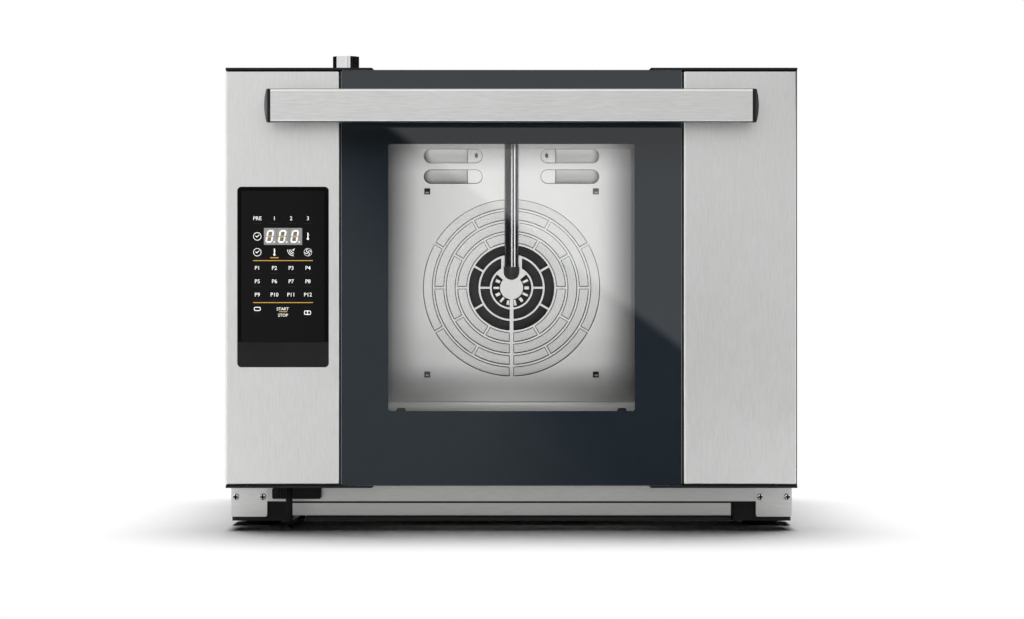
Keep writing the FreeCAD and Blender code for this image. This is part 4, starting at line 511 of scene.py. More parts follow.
class Print:
    """Thin plates on one upright plane, gathered into one mesh."""

    def __init__(self, face_y, lift=0.06 * MM, sink=0.06 * MM):
        self.front = face_y - lift
        self.back = face_y + sink
        self.bm = bmesh.new()

    def outline(self, places):
        """A filled outline of X and Z places."""
        rings = [[self.bm.verts.new((x, y, z)) for x, z in places] for y in (self.front, self.back)]
        self.bm.faces.new(rings[0])
        self.bm.faces.new(reversed(rings[1]))
        for n in range(len(places)):
            self.bm.faces.new((rings[0][n - 1], rings[0][n], rings[1][n], rings[1][n - 1]))

    def band(self, outer, inner):
        """The band between two outlines with equal counts of places."""
        (fo, fi), (bo, bi) = (
            [[self.bm.verts.new((x, y, z)) for x, z in line] for line in (outer, inner)]
            for y in (self.front, self.back)
        )
        for n in range(len(outer)):
            self.bm.faces.new((fo[n - 1], fo[n], fi[n], fi[n - 1]))
            self.bm.faces.new((bo[n], bo[n - 1], bi[n - 1], bi[n]))
            self.bm.faces.new((fo[n], fo[n - 1], bo[n - 1], bo[n]))
            self.bm.faces.new((fi[n - 1], fi[n], bi[n], bi[n - 1]))

    def stroke(self, places, width):
        """A line of one width through X and Z places, with each stretch a bar."""
        for (x0, z0), (x1, z1) in zip(places, places[1:]):
            along = Vector((x1 - x0, z1 - z0)).normalized() * width / 2
            side = Vector((-along.y, along.x))
            start = Vector((x0, z0)) - along * STROKE_LAP
            end = Vector((x1, z1)) + along * STROKE_LAP
            self.outline([tuple(p) for p in (start - side, end - side, end + side, start + side)])

    def bar(self, centre, width, height):
        """An upright rectangle about a centre."""
        x, z = centre
        w, h = width / 2, height / 2
        self.outline([(x - w, z - h), (x + w, z - h), (x + w, z + h), (x - w, z + h)])

    def words(self, text, centre, cap_height):
        """Letters about a centre, from the font that Blender carries."""
        curve = bpy.data.curves.new("words", "FONT")
        curve.body = text
        curve.size = cap_height / CAPITAL_SHARE
        curve.align_x = "CENTER"
        curve.extrude = (self.back - self.front) / 2
        curve.resolution_u = 3
        curve.offset = LETTER_WEIGHT
        holder = bpy.data.objects.new("words", curve)
        mesh = bpy.data.meshes.new_from_object(holder)
        x, z = centre
        lies = Matrix.Translation((x, (self.front + self.back) / 2, z - cap_height / 2))
        mesh.transform(lies @ Matrix.Rotation(math.radians(90), 4, "X"))
        self.bm.from_mesh(mesh)
        bpy.data.objects.remove(holder)
        bpy.data.curves.remove(curve)
        bpy.data.meshes.remove(mesh)

    def piece(self, name, look, body, slot):
        """The finished piece, riding on a body."""
        bmesh.ops.recalc_face_normals(self.bm, faces=self.bm.faces)
        mesh = bpy.data.meshes.new(name)
        self.bm.to_mesh(mesh)
        self.bm.free()
        return add_piece(name, mesh, look, body)


def add_piece(name, mesh, look, body):
    """Puts a mesh in the scene as a piece that rides on a body."""
    piece = bpy.data.objects.new(name, mesh)
    scene.collection.objects.link(piece)
    mesh.materials.clear()
    mesh.materials.append(LOOKS[look])
    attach(piece, body)
    return piece


def arc(centre, radius, start=0.0, end=360.0, steps=24):
    """Places on an arc, with angles in degrees from +X."""
    angles = [math.radians(start + (end - start) * n / steps) for n in range(steps + 1)]
    return [(centre[0] + radius * math.cos(a), centre[1] + radius * math.sin(a)) for a in angles]


def circle(centre, radius, steps=24):
    """Places round a whole circle."""
    return arc(centre, radius, 0.0, 360.0, steps)[:-1]


def rounded_rectangle(x0, z0, x1, z1, radius, steps=6):
    """The outline of a rectangle with round corners."""
    corners = (
        (x1 - radius, z0 + radius, -90),
        (x1 - radius, z1 - radius, 0),
        (x0 + radius, z1 - radius, 90),
        (x0 + radius, z0 + radius, 180),
    )
    return [place for cx, cz, turn in corners for place in arc((cx, cz), radius, turn, turn + 90, steps)]


# The dark print on the outer pane

WINDOW_LEFT, WINDOW_TOP = 388.3, 144.0
WINDOW_RIGHT, WINDOW_BOTTOM = 634.7, 411.0


def make_glass_print():
    """The dark print of the outer pane around the window."""
    low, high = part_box("outer_glass")
    edge = 0.4 * MM
    printed = Print(low.y, 0.04 * MM, 0.2 * MM)
    left, top = photo_place(WINDOW_LEFT, WINDOW_TOP, low.y)
    right, bottom = photo_place(WINDOW_RIGHT, WINDOW_BOTTOM, low.y)
    printed.band(
        rounded_rectangle(low.x + edge, low.z + edge, high.x - edge, high.z - edge, 2 * MM),
        rounded_rectangle(left, bottom, right, top, 2.5 * MM),
    )
    printed.piece("glass_print", "glass_print", "door", "door_glass")


# Marks on the control panel, placed by the photograph's pixels

COLUMNS = (257.3, 274.4, 291.1, 307.9)
STAGE_ROW, ICON_ROW = 218.2, 252.2
PROGRAM_ROWS = (267.8, 281.2, 294.5)
DISPLAY_ROW = 236.4
LINE_ROWS = (260.6, 302.6)
LINE_LEFT, LINE_RIGHT = 253.0, 312.9
START_PLACE, STOP_PLACE = (282.7, 308.8), (283.0, 315.1)
START_LINE = (283.1, 311.7)
LIGHT_ICON, DOOR_ICON = (257.3, 308.9), (307.5, 312.7)
LETTER, SMALL_LETTER = 3.9, 3.0
LETTER_WEIGHT = 0.03 * MM

# Lines and frames of the panel in pixels: drops below a mark, widths, heights, and sizes of both

STAGE_DROP, PROGRAM_DROP, ICON_DROP = 5.2, 5.4, 5.5
MARK_WIDTH, ICON_WIDTH, START_WIDTH = 9.0, 8.3, 8.2
THIN_LINE, LONG_LINE, CHOSEN_LINE = 0.8, 0.85, 1.0
FRAME_LINE, SHADOW_LINE = 0.75, 0.7
LIGHT_SIZE, DOOR_SIZE, DOOR_SHADOW_SIZE = (6.7, 4.0), (6.9, 4.2), (6.2, 3.0)
DOOR_POST, DOOR_SHADOW_RISE = 4.0, 4.6
RAY_STEPS, RAY_DROP, RAY_SIZE = (-2.6, 0.0, 2.6), 4.5, (1.2, 1.6)


def panel_place(px, py):
    """X and Z of a pixel on the touch glass."""
    return photo_place(px, py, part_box("control_glass")[0].y)


def clock_icon(printed, place):
    """A ring with two hands."""
    rim, hole, line = 4.1 * PIXEL, 3.5 * PIXEL, 0.7 * PIXEL
    hands = ((-1.7, 0.4), (-0.4, -0.6), (1.9, 1.5))
    printed.band(circle(place, rim), circle(place, hole))
    x, z = place
    printed.stroke([(x + a * PIXEL, z + b * PIXEL) for a, b in hands], line)


def thermometer_icon(printed, place):
    """An upright stem with a bulb."""
    x, z = place
    stem, stem_rise = (1.0 * PIXEL, 5.4 * PIXEL), 1.0 * PIXEL
    bulb, bulb_drop = 1.1 * PIXEL, 2.5 * PIXEL
    mark, mark_aside = (0.7 * PIXEL, 0.4 * PIXEL), 0.8 * PIXEL
    printed.bar((x, z + stem_rise), *stem)
    printed.outline(circle((x, z - bulb_drop), bulb, 16))
    for rise in (0.6, 2.0):
        printed.bar((x + mark_aside, z + rise * PIXEL), *mark)


def steam_icon(printed, place):
    """Three arcs of spray from a jet at the upper right."""
    aside, line = 2.6 * PIXEL, 0.5 * PIXEL
    tip = ((-1.5, -0.3), (-0.3, -1.5), (1.3, 1.3))
    x, z = place[0] + aside, place[1] + aside
    for radius in (3.0, 4.6, 6.2):
        printed.stroke(arc((x, z), radius * PIXEL, 180, 270, 6), line)
    printed.outline([(x + a * PIXEL, z + b * PIXEL) for a, b in tip])


def fan_icon(printed, place):
    """A ring with four curved blades."""
    rim, hole = 4.0 * PIXEL, 3.65 * PIXEL
    reach, bend, line = 1.6 * PIXEL, 1.5 * PIXEL, 0.45 * PIXEL
    x, z = place
    printed.band(circle(place, rim), circle(place, hole))
    for turn in range(0, 360, 90):
        a = math.radians(turn)
        middle = (x + reach * math.cos(a), z + reach * math.sin(a))
        printed.stroke(arc(middle, bend, turn, turn + 170, 6), line)


def frame_icon(printed, place, width, height, line):
    """A rounded rectangle drawn as a line."""
    outer_radius, inner_radius = 1.2 * PIXEL, 0.5 * PIXEL
    (x, z), w, h = place, width * PIXEL / 2, height * PIXEL / 2
    t = line * PIXEL
    printed.band(
        rounded_rectangle(x - w, z - h, x + w, z + h, outer_radius),
        rounded_rectangle(x - w + t, z - h + t, x + w - t, z + h - t, inner_radius),
    )


def make_panel_marks():
    """Letters, icons and lines on the touch glass."""
    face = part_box("control_glass")[0].y
    white, amber, dim = Print(face), Print(face), Print(face)

    def line(printed, px, py, width, height=THIN_LINE):
        printed.bar(panel_place(px, py), width * PIXEL, height * PIXEL)

    for text, column in zip(("PRE", "1", "2", "3"), COLUMNS):
        white.words(text, panel_place(column, STAGE_ROW), LETTER * PIXEL)
        line(dim, column, STAGE_ROW + STAGE_DROP, MARK_WIDTH)
    for row, py in enumerate(PROGRAM_ROWS):
        for column, px in enumerate(COLUMNS):
            number = row * len(COLUMNS) + column + 1
            white.words(f"P{number}", panel_place(px, py), LETTER * PIXEL)
            line(dim, px, py + PROGRAM_DROP, MARK_WIDTH)
    clock_icon(white, panel_place(COLUMNS[0], DISPLAY_ROW))
    thermometer_icon(white, panel_place(COLUMNS[-1], DISPLAY_ROW))
    chosen = thermometer_icon
    for icon, column in zip((clock_icon, thermometer_icon, steam_icon, fan_icon), COLUMNS):
        icon(white, panel_place(column, ICON_ROW))
        printed, height = (amber, CHOSEN_LINE) if icon is chosen else (dim, THIN_LINE)
        line(printed, column, ICON_ROW + ICON_DROP, ICON_WIDTH, height)
    for py in LINE_ROWS:
        line(amber, (LINE_LEFT + LINE_RIGHT) / 2, py, LINE_RIGHT - LINE_LEFT, LONG_LINE)
    white.words("START", panel_place(*START_PLACE), SMALL_LETTER * PIXEL)
    white.words("STOP", panel_place(*STOP_PLACE), SMALL_LETTER * PIXEL)
    line(amber, *START_LINE, START_WIDTH)
    frame_icon(white, panel_place(*LIGHT_ICON), *LIGHT_SIZE, FRAME_LINE)
    for step in RAY_STEPS:
        line(dim, LIGHT_ICON[0] + step, LIGHT_ICON[1] + RAY_DROP, *RAY_SIZE)
    frame_icon(white, panel_place(*DOOR_ICON), *DOOR_SIZE, FRAME_LINE)
    line(white, *DOOR_ICON, FRAME_LINE, DOOR_POST)
    shadow = panel_place(DOOR_ICON[0], DOOR_ICON[1] - DOOR_SHADOW_RISE)
    frame_icon(dim, shadow, *DOOR_SHADOW_SIZE, SHADOW_LINE)
    white.piece("panel_letters", "white_mark", "door", "light_plastic")
    amber.piece("panel_lines", "amber_mark", "door", "light_plastic")
    dim.piece("panel_shadow_marks", "dim_mark", "door", "touch_glass")


# Seven-segment figures: X and Z in pixels from a figure's middle, before the slant

FIGURE_WIDTH, FIGURE_HEIGHT, FIGURE_LINE = 7.0, 12.8, 1.6
FIGURE_SLANT, FIGURE_SHIFT = 0.18, -0.8
FIGURE_PITCH = 12.45
SEGMENT_GAP = 0.12
ROOM_MARGIN = 0.75 * FIGURE_LINE
POINT_RADIUS = 0.8
POINT_X, POINT_Z = FIGURE_WIDTH / 2 + 2.0, -FIGURE_HEIGHT / 2 + 0.9
DIVIDER = 0.5


def segment(upright, along_half):
    """A six-sided segment about the origin."""
    half = FIGURE_LINE / 2
    shape = [(-along_half, 0), (-along_half + half, -half), (along_half - half, -half)]
    shape += [(along_half, 0), (along_half - half, half), (-along_half + half, half)]
    return [(b, a) for a, b in reversed(shape)] if upright else shape


def make_figures():
    """The three figures and the decimal points on the display."""
    low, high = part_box("display_module")
    lit, amber, grey = Print(low.y), Print(low.y), Print(low.y)
    wide = (FIGURE_WIDTH - FIGURE_LINE) / 2
    tall = (FIGURE_HEIGHT - FIGURE_LINE) / 4
    level = segment(False, wide - SEGMENT_GAP)
    post = segment(True, tall - SEGMENT_GAP)
    room_w, room_h = wide - ROOM_MARGIN, tall - ROOM_MARGIN
    room = [(-room_w, -room_h), (room_w, -room_h), (room_w, room_h), (-room_w, room_h)]
    cx, cz = (low.x + high.x) / 2, (low.z + high.z) / 2

    def put(printed, shape, number, x, z):
        slanted = []
        for a, b in shape:
            fx, fz = x + a, z + b
            fx += FIGURE_SLANT * fz + FIGURE_SHIFT + (number - 1) * FIGURE_PITCH
            slanted.append((cx + fx * PIXEL, cz + fz * PIXEL))
        printed.outline(slanted)

    for number in range(3):
        for z in (-2 * tall, 2 * tall):
            put(lit, level, number, 0, z)
        for x in (-wide, wide):
            for z in (-tall, tall):
                put(lit, post, number, x, z)
        put(amber, level, number, 0, 0)
        for z in (-tall, tall):
            put(grey, room, number, 0, z)
        put(lit, circle((0, 0), POINT_RADIUS, 12), number, POINT_X, POINT_Z)
    margin = 0.4 * MM
    for number in (-0.5, 0.5):
        grey.bar((cx + number * FIGURE_PITCH * PIXEL, cz), DIVIDER * PIXEL, high.z - low.z - margin)
    lit.piece("display_figures", "white_mark", "door", "light_plastic")
    amber.piece("display_dashes", "amber_mark", "door", "light_plastic")
    grey.piece("display_shadows", "grey_mark", "door", "display_face")


# The control cable

CABLE_ROUTE = (
    (-0.2341, -0.2685, 0.0513),
    (-0.2341, -0.2685, 0.0150),
    (-0.2340, -0.2660, 0.0046),
    (-0.2325, -0.2450, 0.0043),
    (-0.2272, -0.1830, 0.0043),
    (-0.2265, -0.1715, 0.0060),
    (-0.2265, -0.1705, 0.0200),
    (-0.2265, -0.1705, 0.0400),
)


def make_cable():
    """A smooth sheathed cable from the door to the base."""
    curve = bpy.data.curves.new("control_cable", "CURVE")
    curve.dimensions = "3D"
    curve.bevel_depth = CABLE_RADIUS
    curve.bevel_resolution = 5
    curve.use_fill_caps = True
    line = curve.splines.new("NURBS")
    line.points.add(len(CABLE_ROUTE) - 1)
    for point, place in zip(line.points, CABLE_ROUTE):
        point.co = (*place, 1.0)
    line.order_u = 3
    line.use_endpoint_u = True
    line.resolution_u = 10
    holder = bpy.data.objects.new("control_cable_line", curve)
    mesh = bpy.data.meshes.new_from_object(holder)
    bpy.data.objects.remove(holder)
    mesh.shade_smooth()
    piece = bpy.data.objects.new("control_cable", mesh)
    scene.collection.objects.link(piece)
    mesh.materials.clear()
    mesh.materials.append(LOOKS["cable_sheath"])
    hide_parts("door_cable")
    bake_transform(piece)


# Small parts of the guard, the base and the door


def edge_loops(edges):
    """Closed loops of corner places from loose edges."""
    beside = {}
    for edge in edges:
        for corner in edge.verts:
            beside.setdefault(corner, []).append(edge.other_vert(corner))
    loops = []
    while beside:
        here = next(iter(beside))
        loop = []
        while here is not None:
            loop.append(here.co.copy())
            around = beside.pop(here)
            here = next((corner for corner in around if corner in beside), None)
        loops.append(loop)
    return loops


RIM_RADIUS = 0.45 * MM
RIM_FOOT, RIM_TOP = 1.35, 0.55
SAME_PLACE = 0.01 * MM


def make_guard_rims():
    """A fine bead of painted shade along the edge of every opening in the fan guard, thicker lower down.
    """
    low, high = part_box("fan_guard")
    bm = bmesh.new()
    bm.from_mesh(nodes["fan_guard"].data)
    bmesh.ops.remove_doubles(bm, verts=bm.verts, dist=0.001 * MM)

    def inside(place):
        return low.x + MM < place.x < high.x - MM and low.z + MM < place.z < high.z - MM

    def at_opening(edge):
        places = [corner.co for corner in edge.verts]
        if any(abs(place.y - low.y) > SAME_PLACE or not inside(place) for place in places):
            return False
        flat = [abs(face.normal.y) > 0.9 for face in edge.link_faces]
        return any(flat) and not all(flat)

    loops = edge_loops([edge for edge in bm.edges if at_opening(edge)])
    bm.free()
    curve = bpy.data.curves.new("guard_rims", "CURVE")
    curve.dimensions = "3D"
    curve.bevel_depth = RIM_RADIUS
    curve.bevel_resolution = 1
    for loop in loops:
        line = curve.splines.new("POLY")
        line.points.add(len(loop) - 1)
        for point, place in zip(line.points, loop):
            point.co = (*place, 1.0)
            rise = (place.z - low.z) / (high.z - low.z)
            point.radius = RIM_FOOT + (RIM_TOP - RIM_FOOT) * rise
        line.use_cyclic_u = True
    holder = bpy.data.objects.new("guard_rims_line", curve)
    mesh = bpy.data.meshes.new_from_object(holder)
    bpy.data.objects.remove(holder)
    add_piece("guard_rims", mesh, "seam_and_painted_shade", "body")


SLEEVE_TEETH = 14
SLEEVE_SETBACK, SLEEVE_LAP = 12 * MM, 4 * MM
# Root radius, tip radius and width of the even and of the odd teeth
TOOTH_SIZES = ((16.4 * MM, 19.6 * MM, 3.4 * MM), (15.4 * MM, 20.6 * MM, 2.6 * MM))


def make_hub_sleeve():
    """A toothed sleeve on the fan hub, seen through the inmost slots."""
    low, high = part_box("fan_nut")
    axis = ((low.x + high.x) / 2, (low.z + high.z) / 2)
    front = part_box("fan_guard")[0].y + SLEEVE_SETBACK
    sleeve = Print(front, 0.0, low.y - front + SLEEVE_LAP)
    for tooth in range(SLEEVE_TEETH):
        angle = math.tau * tooth / SLEEVE_TEETH
        root, tip, width = TOOTH_SIZES[tooth % 2]
        ends = [(axis[0] + r * math.cos(angle), axis[1] + r * math.sin(angle)) for r in (root, tip)]
        sleeve.stroke(ends, width)
    return sleeve.piece("hub_sleeve", "sleeve_steel", "fan", "wire_steel")


GUARD_SCREWS = ((427.3, 191.9), (596.2, 191.9), (427.3, 374.5), (596.2, 374.5))
GLINT_SIZE, GLINT_DROP = (4.0 * MM, 1.8 * MM), 0.9 * MM


def make_fastener_glints():
    """Painted glints: the pale lower half of the recess in each of the guard's four fasteners."""
    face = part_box("guard_fasteners")[0].y
    glints = Print(face, 0.1 * MM, 0.3 * MM)
    for px, py in GUARD_SCREWS:
        x, z = photo_place(px, py, face)
        glints.bar((x, z - GLINT_DROP), *GLINT_SIZE)
    return glints.piece("fastener_glints", "painted_glint", "body", "fixing_steel")


TAB_STRIP_X, TAB_STRIP_Z = 277 * MM, 42.6 * MM
TAB_STRIP_SIZE = (20 * MM, 3.4 * MM)


def make_tab_shades():
    """Strips of painted shade on the fascia's upper corners, behind the slots for the hinge arms."""
    strips = Print(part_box("front_fascia")[0].y, 0.2 * MM, 0.1 * MM)
    for side in (-1, 1):
        strips.bar((side * TAB_STRIP_X, TAB_STRIP_Z), *TAB_STRIP_SIZE)
    strips.piece("tab_shades", "painted_shade_black", "body", "seal_rubber")


STIFFENER_SCREWS = ((476.3, 155.0), (546.5, 155.0))
STIFFENER_STANDOFF = 4 * MM
STIFFENER_SCREW, STIFFENER_EDGE = 1.9 * MM, 0.6 * MM


def make_stiffener_screws():
    """Two small screws on the plate behind the upper slots, drawn as dots of painted shade, and painted
    shade along the plate's cut edges.
    """
    low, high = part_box("guard_stiffener")
    face = low.y + STIFFENER_STANDOFF
    screws = Print(face, 1.0 * MM, 0.1 * MM)
    for px, py in STIFFENER_SCREWS:
        screws.outline(circle(photo_place(px, py, face), STIFFENER_SCREW, 16))
    screws.piece("stiffener_screws", "painted_shade_black", "body", "fixing_steel")
    edges = Print(face, 0.05 * MM, 1.0 * MM)
    for x in (low.x, high.x):
        edges.bar((x, (low.z + high.z) / 2), STIFFENER_EDGE, high.z - low.z)
    edges.piece("stiffener_edges", "seam_and_painted_shade", "body", "liner_steel")


FASCIA_SCREWS = ((235.5, 497.0), (262.6, 497.0), (760.4, 497.0), (787.7, 497.0))
CROSS_BAR, CROSS_ARM, CROSS_ARM_RISE = (5.2 * MM, 1.9 * MM), (1.9 * MM, 1.6 * MM), 1.75 * MM


def make_screw_recesses():
    """Cross recesses in the four front screws, drawn dark as painted shade."""
    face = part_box("casing_screws")[0].y
    crosses = Print(face, 0.05 * MM, 0.3 * MM)
    for px, py in FASCIA_SCREWS:
        x, z = photo_place(px, py, face)
        crosses.bar((x, z), *CROSS_BAR)
        for rise in (CROSS_ARM_RISE, -CROSS_ARM_RISE):
            crosses.bar((x, z + rise), *CROSS_ARM)
    crosses.piece("screw_recesses", "painted_shade_black", "body", "fixing_steel")


def make_pane_edges():
    """The ground edges of the outer pane, drawn pale as a painted highlight where they catch the light.
    """
    low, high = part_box("outer_glass")
    inset, width, margin = 0.4 * MM, 0.7 * MM, 4 * MM
    edges = Print(low.y, 0.08 * MM, 0.5 * MM)
    for x in (low.x + inset, high.x - inset):
        edges.bar((x, (low.z + high.z) / 2), width, high.z - low.z - margin)
    edges.piece("pane_edges", "pane_edge", "door", "door_glass")


def make_skin_fold():
    """The fold of the left skin round the door's outer edge, in a paler steel as a painted highlight."""
    low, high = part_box("door_skin_left")
    proud, lap, depth = 0.05 * MM, 0.6 * MM, 3 * MM
    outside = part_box("door_frames")[0].x - proud
    fold = Print(low.y, 0.02 * MM, depth)
    width = low.x + lap - outside
    fold.bar((outside + width / 2, (low.z + high.z) / 2), width, high.z - low.z)
    fold.piece("skin_fold", "fold_highlight_steel", "door", "door_steel")


def block_piece(name, blocks, look):
    """A piece on the body made of closed blocks, each between two corners."""
    bm = bmesh.new()
    for low, high in blocks:
        size = Vector(high) - Vector(low)
        middle = (Vector(high) + Vector(low)) / 2
        bmesh.ops.create_cube(bm, size=1.0, matrix=Matrix.LocRotScale(middle, None, size))
    mesh = bpy.data.meshes.new(name)
    bm.to_mesh(mesh)
    bm.free()
    add_piece(name, mesh, look, "body")


def make_casing_seams():
    """Fine dark joints where the casing's sheets meet, on the top and the back."""
    top_low, top_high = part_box("top_panel")
    rear_low, rear_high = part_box("rear_panel")
    half, lift = 0.3 * MM, 0.05 * MM
    joint = top_low.z
    inner, outer = rear_high.y - half, rear_high.y + lift
    blocks = [((rear_low.x, inner, joint - half), (rear_high.x, outer, joint + half))]
    for x in (top_low.x, top_high.x):
        left, right = x - half, x + half
        blocks.append(((left, top_low.y, top_high.z - half), (right, top_high.y, top_high.z + lift)))
        blocks.append(((left, inner, rear_low.z), (right, outer, top_high.z)))
    block_piece("casing_seams", blocks, "seam_and_painted_shade")


SKIRT_GAP = 2.5 * MM
SKIRT_SHEET = 1.2 * MM
RAIL_TOP, RAIL_BOTTOM = 516.7, 520.8


def make_base_joint():
    """A strip of painted shade in the joint between the fascia and the skirt strip."""
    low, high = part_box("base_skirt")
    depth = 6 * MM
    front = low.y + SKIRT_SHEET
    block = ((low.x, front, high.z - SKIRT_GAP), (high.x, front + depth, high.z))
    block_piece("base_joint", [block], "painted_shade_black")


def make_base_rail():
    """A black rail below the skirt strip, hung from the strip's flange and clear of the cable."""
    low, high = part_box("base_skirt")
    clearance, web, lap = 2 * MM, 2 * MM, 0.5 * MM
    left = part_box("door_cable")[1].x + clearance
    front, back = low.y + SKIRT_SHEET, high.y - SKIRT_SHEET
    bottom, top = (photo_place(AHEAD_X, row, front)[1] for row in (RAIL_BOTTOM, RAIL_TOP))
    flange = high.z - SKIRT_GAP - SKIRT_SHEET
    rail = ((left, front, bottom), (high.x, back, top))
    hanger = ((left, back - web, top - lap), (high.x, back, flange))
    block_piece("base_rail", [rail, hanger], "rail_plastic")


# Lights, world and stage

AMBIENT = 0.008
FLOOR_SIZE = 8.0
FADE_START, FADE_END = 0.6, 1.3


def hide_from(item, *kinds):
    """Hides an object or a lamp from some kinds of rays."""
    for kind in kinds:
        setattr(item, f"visible_{kind}", False)


def area_lamp(name, place, aim, size, power):
    """A soft rectangular lamp that points at a place."""
    data = bpy.data.lights.new(name, "AREA")
    data.shape = "RECTANGLE"
    data.size, data.size_y = size
    data.energy = power
    lamp = bpy.data.objects.new(name, data)
    lamp.location = place
    lamp.rotation_euler = (Vector(aim) - Vector(place)).to_track_quat("-Z", "Y").to_euler()
    scene.collection.objects.link(lamp)
    return lamp


def aim_lamp(lamp, objects, state):
    """Lets a lamp light only some objects (INCLUDE) or all the others (EXCLUDE)."""
    group = bpy.data.collections.new(f"{lamp.name}_objects")
    lamp.light_linking.receiver_collection = group
    for item in objects:
        group.objects.link(item)
    for entry in group.collection_objects:
        entry.light_linking.link_state = state


def far_lamp(name, direction, width, strength):
    """A far lamp that shines in a direction; width is the angle over which it is spread."""
    data = bpy.data.lights.new(name, "SUN")
    data.energy = strength
    data.angle = math.radians(width)
    lamp = bpy.data.objects.new(name, data)
    lamp.rotation_euler = Vector(direction).to_track_quat("-Z", "Y").to_euler()
    hide_from(lamp, "glossy")
    scene.collection.objects.link(lamp)
    return lamp


def make_world():
    """White surroundings for the eye and for mirrors, which give little light of their own."""
    world = bpy.data.worlds.new("studio")
    world.use_nodes = True
    tree = world.node_tree
    background = tree.nodes["Background"]
    background.inputs["Color"].default_value = (1.0, 1.0, 1.0, 1.0)
    path = tree.nodes.new("ShaderNodeLightPath")
    seen = combine(tree, "MAXIMUM", path.outputs["Is Camera Ray"], path.outputs["Is Glossy Ray"])
    seen = combine(tree, "MAXIMUM", seen, path.outputs["Is Transmission Ray"])
    first = combine(tree, "LESS_THAN", path.outputs["Diffuse Depth"], 0.5)
    strength = spread(tree, combine(tree, "MULTIPLY", seen, first), AMBIENT, 1.0, 0.0, 1.0)
    tree.links.new(strength, background.inputs["Strength"])
    scene.world = world


def make_floor():
    """A pale floor that fades into the white surroundings."""
    bpy.ops.mesh.primitive_plane_add(size=FLOOR_SIZE)
    floor = bpy.context.object
    floor.name = "floor"
    tree, shader = blank("floor")
    set_sockets(shader, Base_Color=(0.96, 0.96, 0.96), Roughness=0.9, Specular_IOR_Level=0.0)
    length = tree.nodes.new("ShaderNodeVectorMath")
    length.operation = "LENGTH"
    tree.links.new(row_place(tree), length.inputs[0])
    fade = spread(tree, length.outputs["Value"], 1.0, 0.0, FADE_START, FADE_END, soft=True)
    tree.links.new(fade, shader.inputs["Alpha"])
    floor.data.materials.append(LOOKS["floor"])
    return floor


CARD_Y = -4.4
CARD_LEFT, CARD_RIGHT = -0.42, 1.9
CARD_TOP = 1.3
CARD_FLOOR, CARD_FOOT = 4 * MM, -1.05

# Pixels at which the outer pane mirrors two slanting edges on the card

BRIGHT_EDGE = ((385, 123), (682, 348))
DIM_EDGE = ((362, 202), (585, 475))

# Distances on the card in metres, and how brightly it glows

BRIGHT_BLEND, DIM_BLEND = 0.014, 0.12
DIM_NEAR, DIM_ACROSS = 0.5, 0.1
FAR_START, FAR_END, FAR_GLOW = -0.75, -0.25, 0.5
SIDE_START, SIDE_END = 0.42, 0.56
SIDE_NEAR, SIDE_FAR = 1.02, 0.68


def mirrored_place(px, py):
    """Where the card is seen in the outer pane at a pixel of the photograph."""
    glass_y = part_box("outer_glass")[0].y
    x, z = photo_place(px, py, glass_y)
    eye = DOOR_FRONT - EYE_DISTANCE
    stretch = 1 + (glass_y - CARD_Y) / (glass_y - eye)
    return x * stretch, EYE_HEIGHT + (z - EYE_HEIGHT) * stretch


def beyond_line(tree, axes, edge, start, end, low, high):
    """A soft step over the distance above an edge on the card, from low at start to high at end."""
    first, second = (Vector(mirrored_place(*pixel)) for pixel in edge)
    along = (second - first).normalized()
    across = Vector((-along.y, along.x))
    sideways = combine(tree, "MULTIPLY", axes["X"], across.x)
    upwards = combine(tree, "MULTIPLY", axes["Z"], across.y)
    distance = combine(tree, "ADD", combine(tree, "ADD", sideways, upwards), -first.dot(across))
    return spread(tree, distance, low, high, start, end, soft=True)


def make_card():
    """A grey card behind the camera, which only reflections show, and its foot on the floor."""
    tree, shader = blank("card")
    tree.nodes.remove(shader)
    glow = tree.nodes.new("ShaderNodeEmission")
    axes = row_axes(tree)
    upper = beyond_line(tree, axes, BRIGHT_EDGE, -BRIGHT_BLEND, BRIGHT_BLEND, 0.0, 1.0)
    lower = beyond_line(tree, axes, DIM_EDGE, -DIM_BLEND, DIM_BLEND, DIM_NEAR, DIM_ACROSS)
    far = beyond_line(tree, axes, DIM_EDGE, FAR_START, FAR_END, FAR_GLOW, 1.0)
    dim = combine(tree, "MULTIPLY", lower, far)
    beside = spread(tree, axes["X"], SIDE_NEAR, SIDE_FAR, SIDE_START, SIDE_END)
    bright = combine(tree, "MULTIPLY", upper, beside)
    tree.links.new(combine(tree, "ADD", dim, bright), glow.inputs["Strength"])
    tree.links.new(glow.outputs["Emission"], tree.nodes["Material Output"].inputs["Surface"])

    mesh = bpy.data.meshes.new("card")
    upright = [(x, CARD_Y, z) for x, z in ((CARD_LEFT, CARD_FLOOR), (CARD_RIGHT, CARD_FLOOR))]
    upright += [(CARD_RIGHT, CARD_Y, CARD_TOP), (CARD_LEFT, CARD_Y, CARD_TOP)]
    foot = [(CARD_RIGHT, CARD_FOOT, CARD_FLOOR), (CARD_LEFT, CARD_FOOT, CARD_FLOOR)]
    mesh.from_pydata(upright + foot, [], [(0, 1, 2, 3), (0, 5, 4, 1)])
    mesh.materials.append(LOOKS["card"])
    card = bpy.data.objects.new("card", mesh)
    scene.collection.objects.link(card)
    hide_from(card, "camera", "diffuse", "shadow", "volume_scatter")


def inside_cavity():
    """The nodes that stand in the cooking chamber."""
    low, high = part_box("cavity_shell")
    slack = 2 * MM
    found = []
    for name, node in nodes.items():
        first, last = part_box(name)
        above = all(a >= b - slack for a, b in zip(first, low))
        below = all(a <= b + slack for a, b in zip(last, high))
        if above and below:
            found.append(node)
    return found


FLAG_DISTANCE, FLAG_HEIGHT = 0.9, 0.25
FLAG_START, FLAG_END = -50.0, 182.0


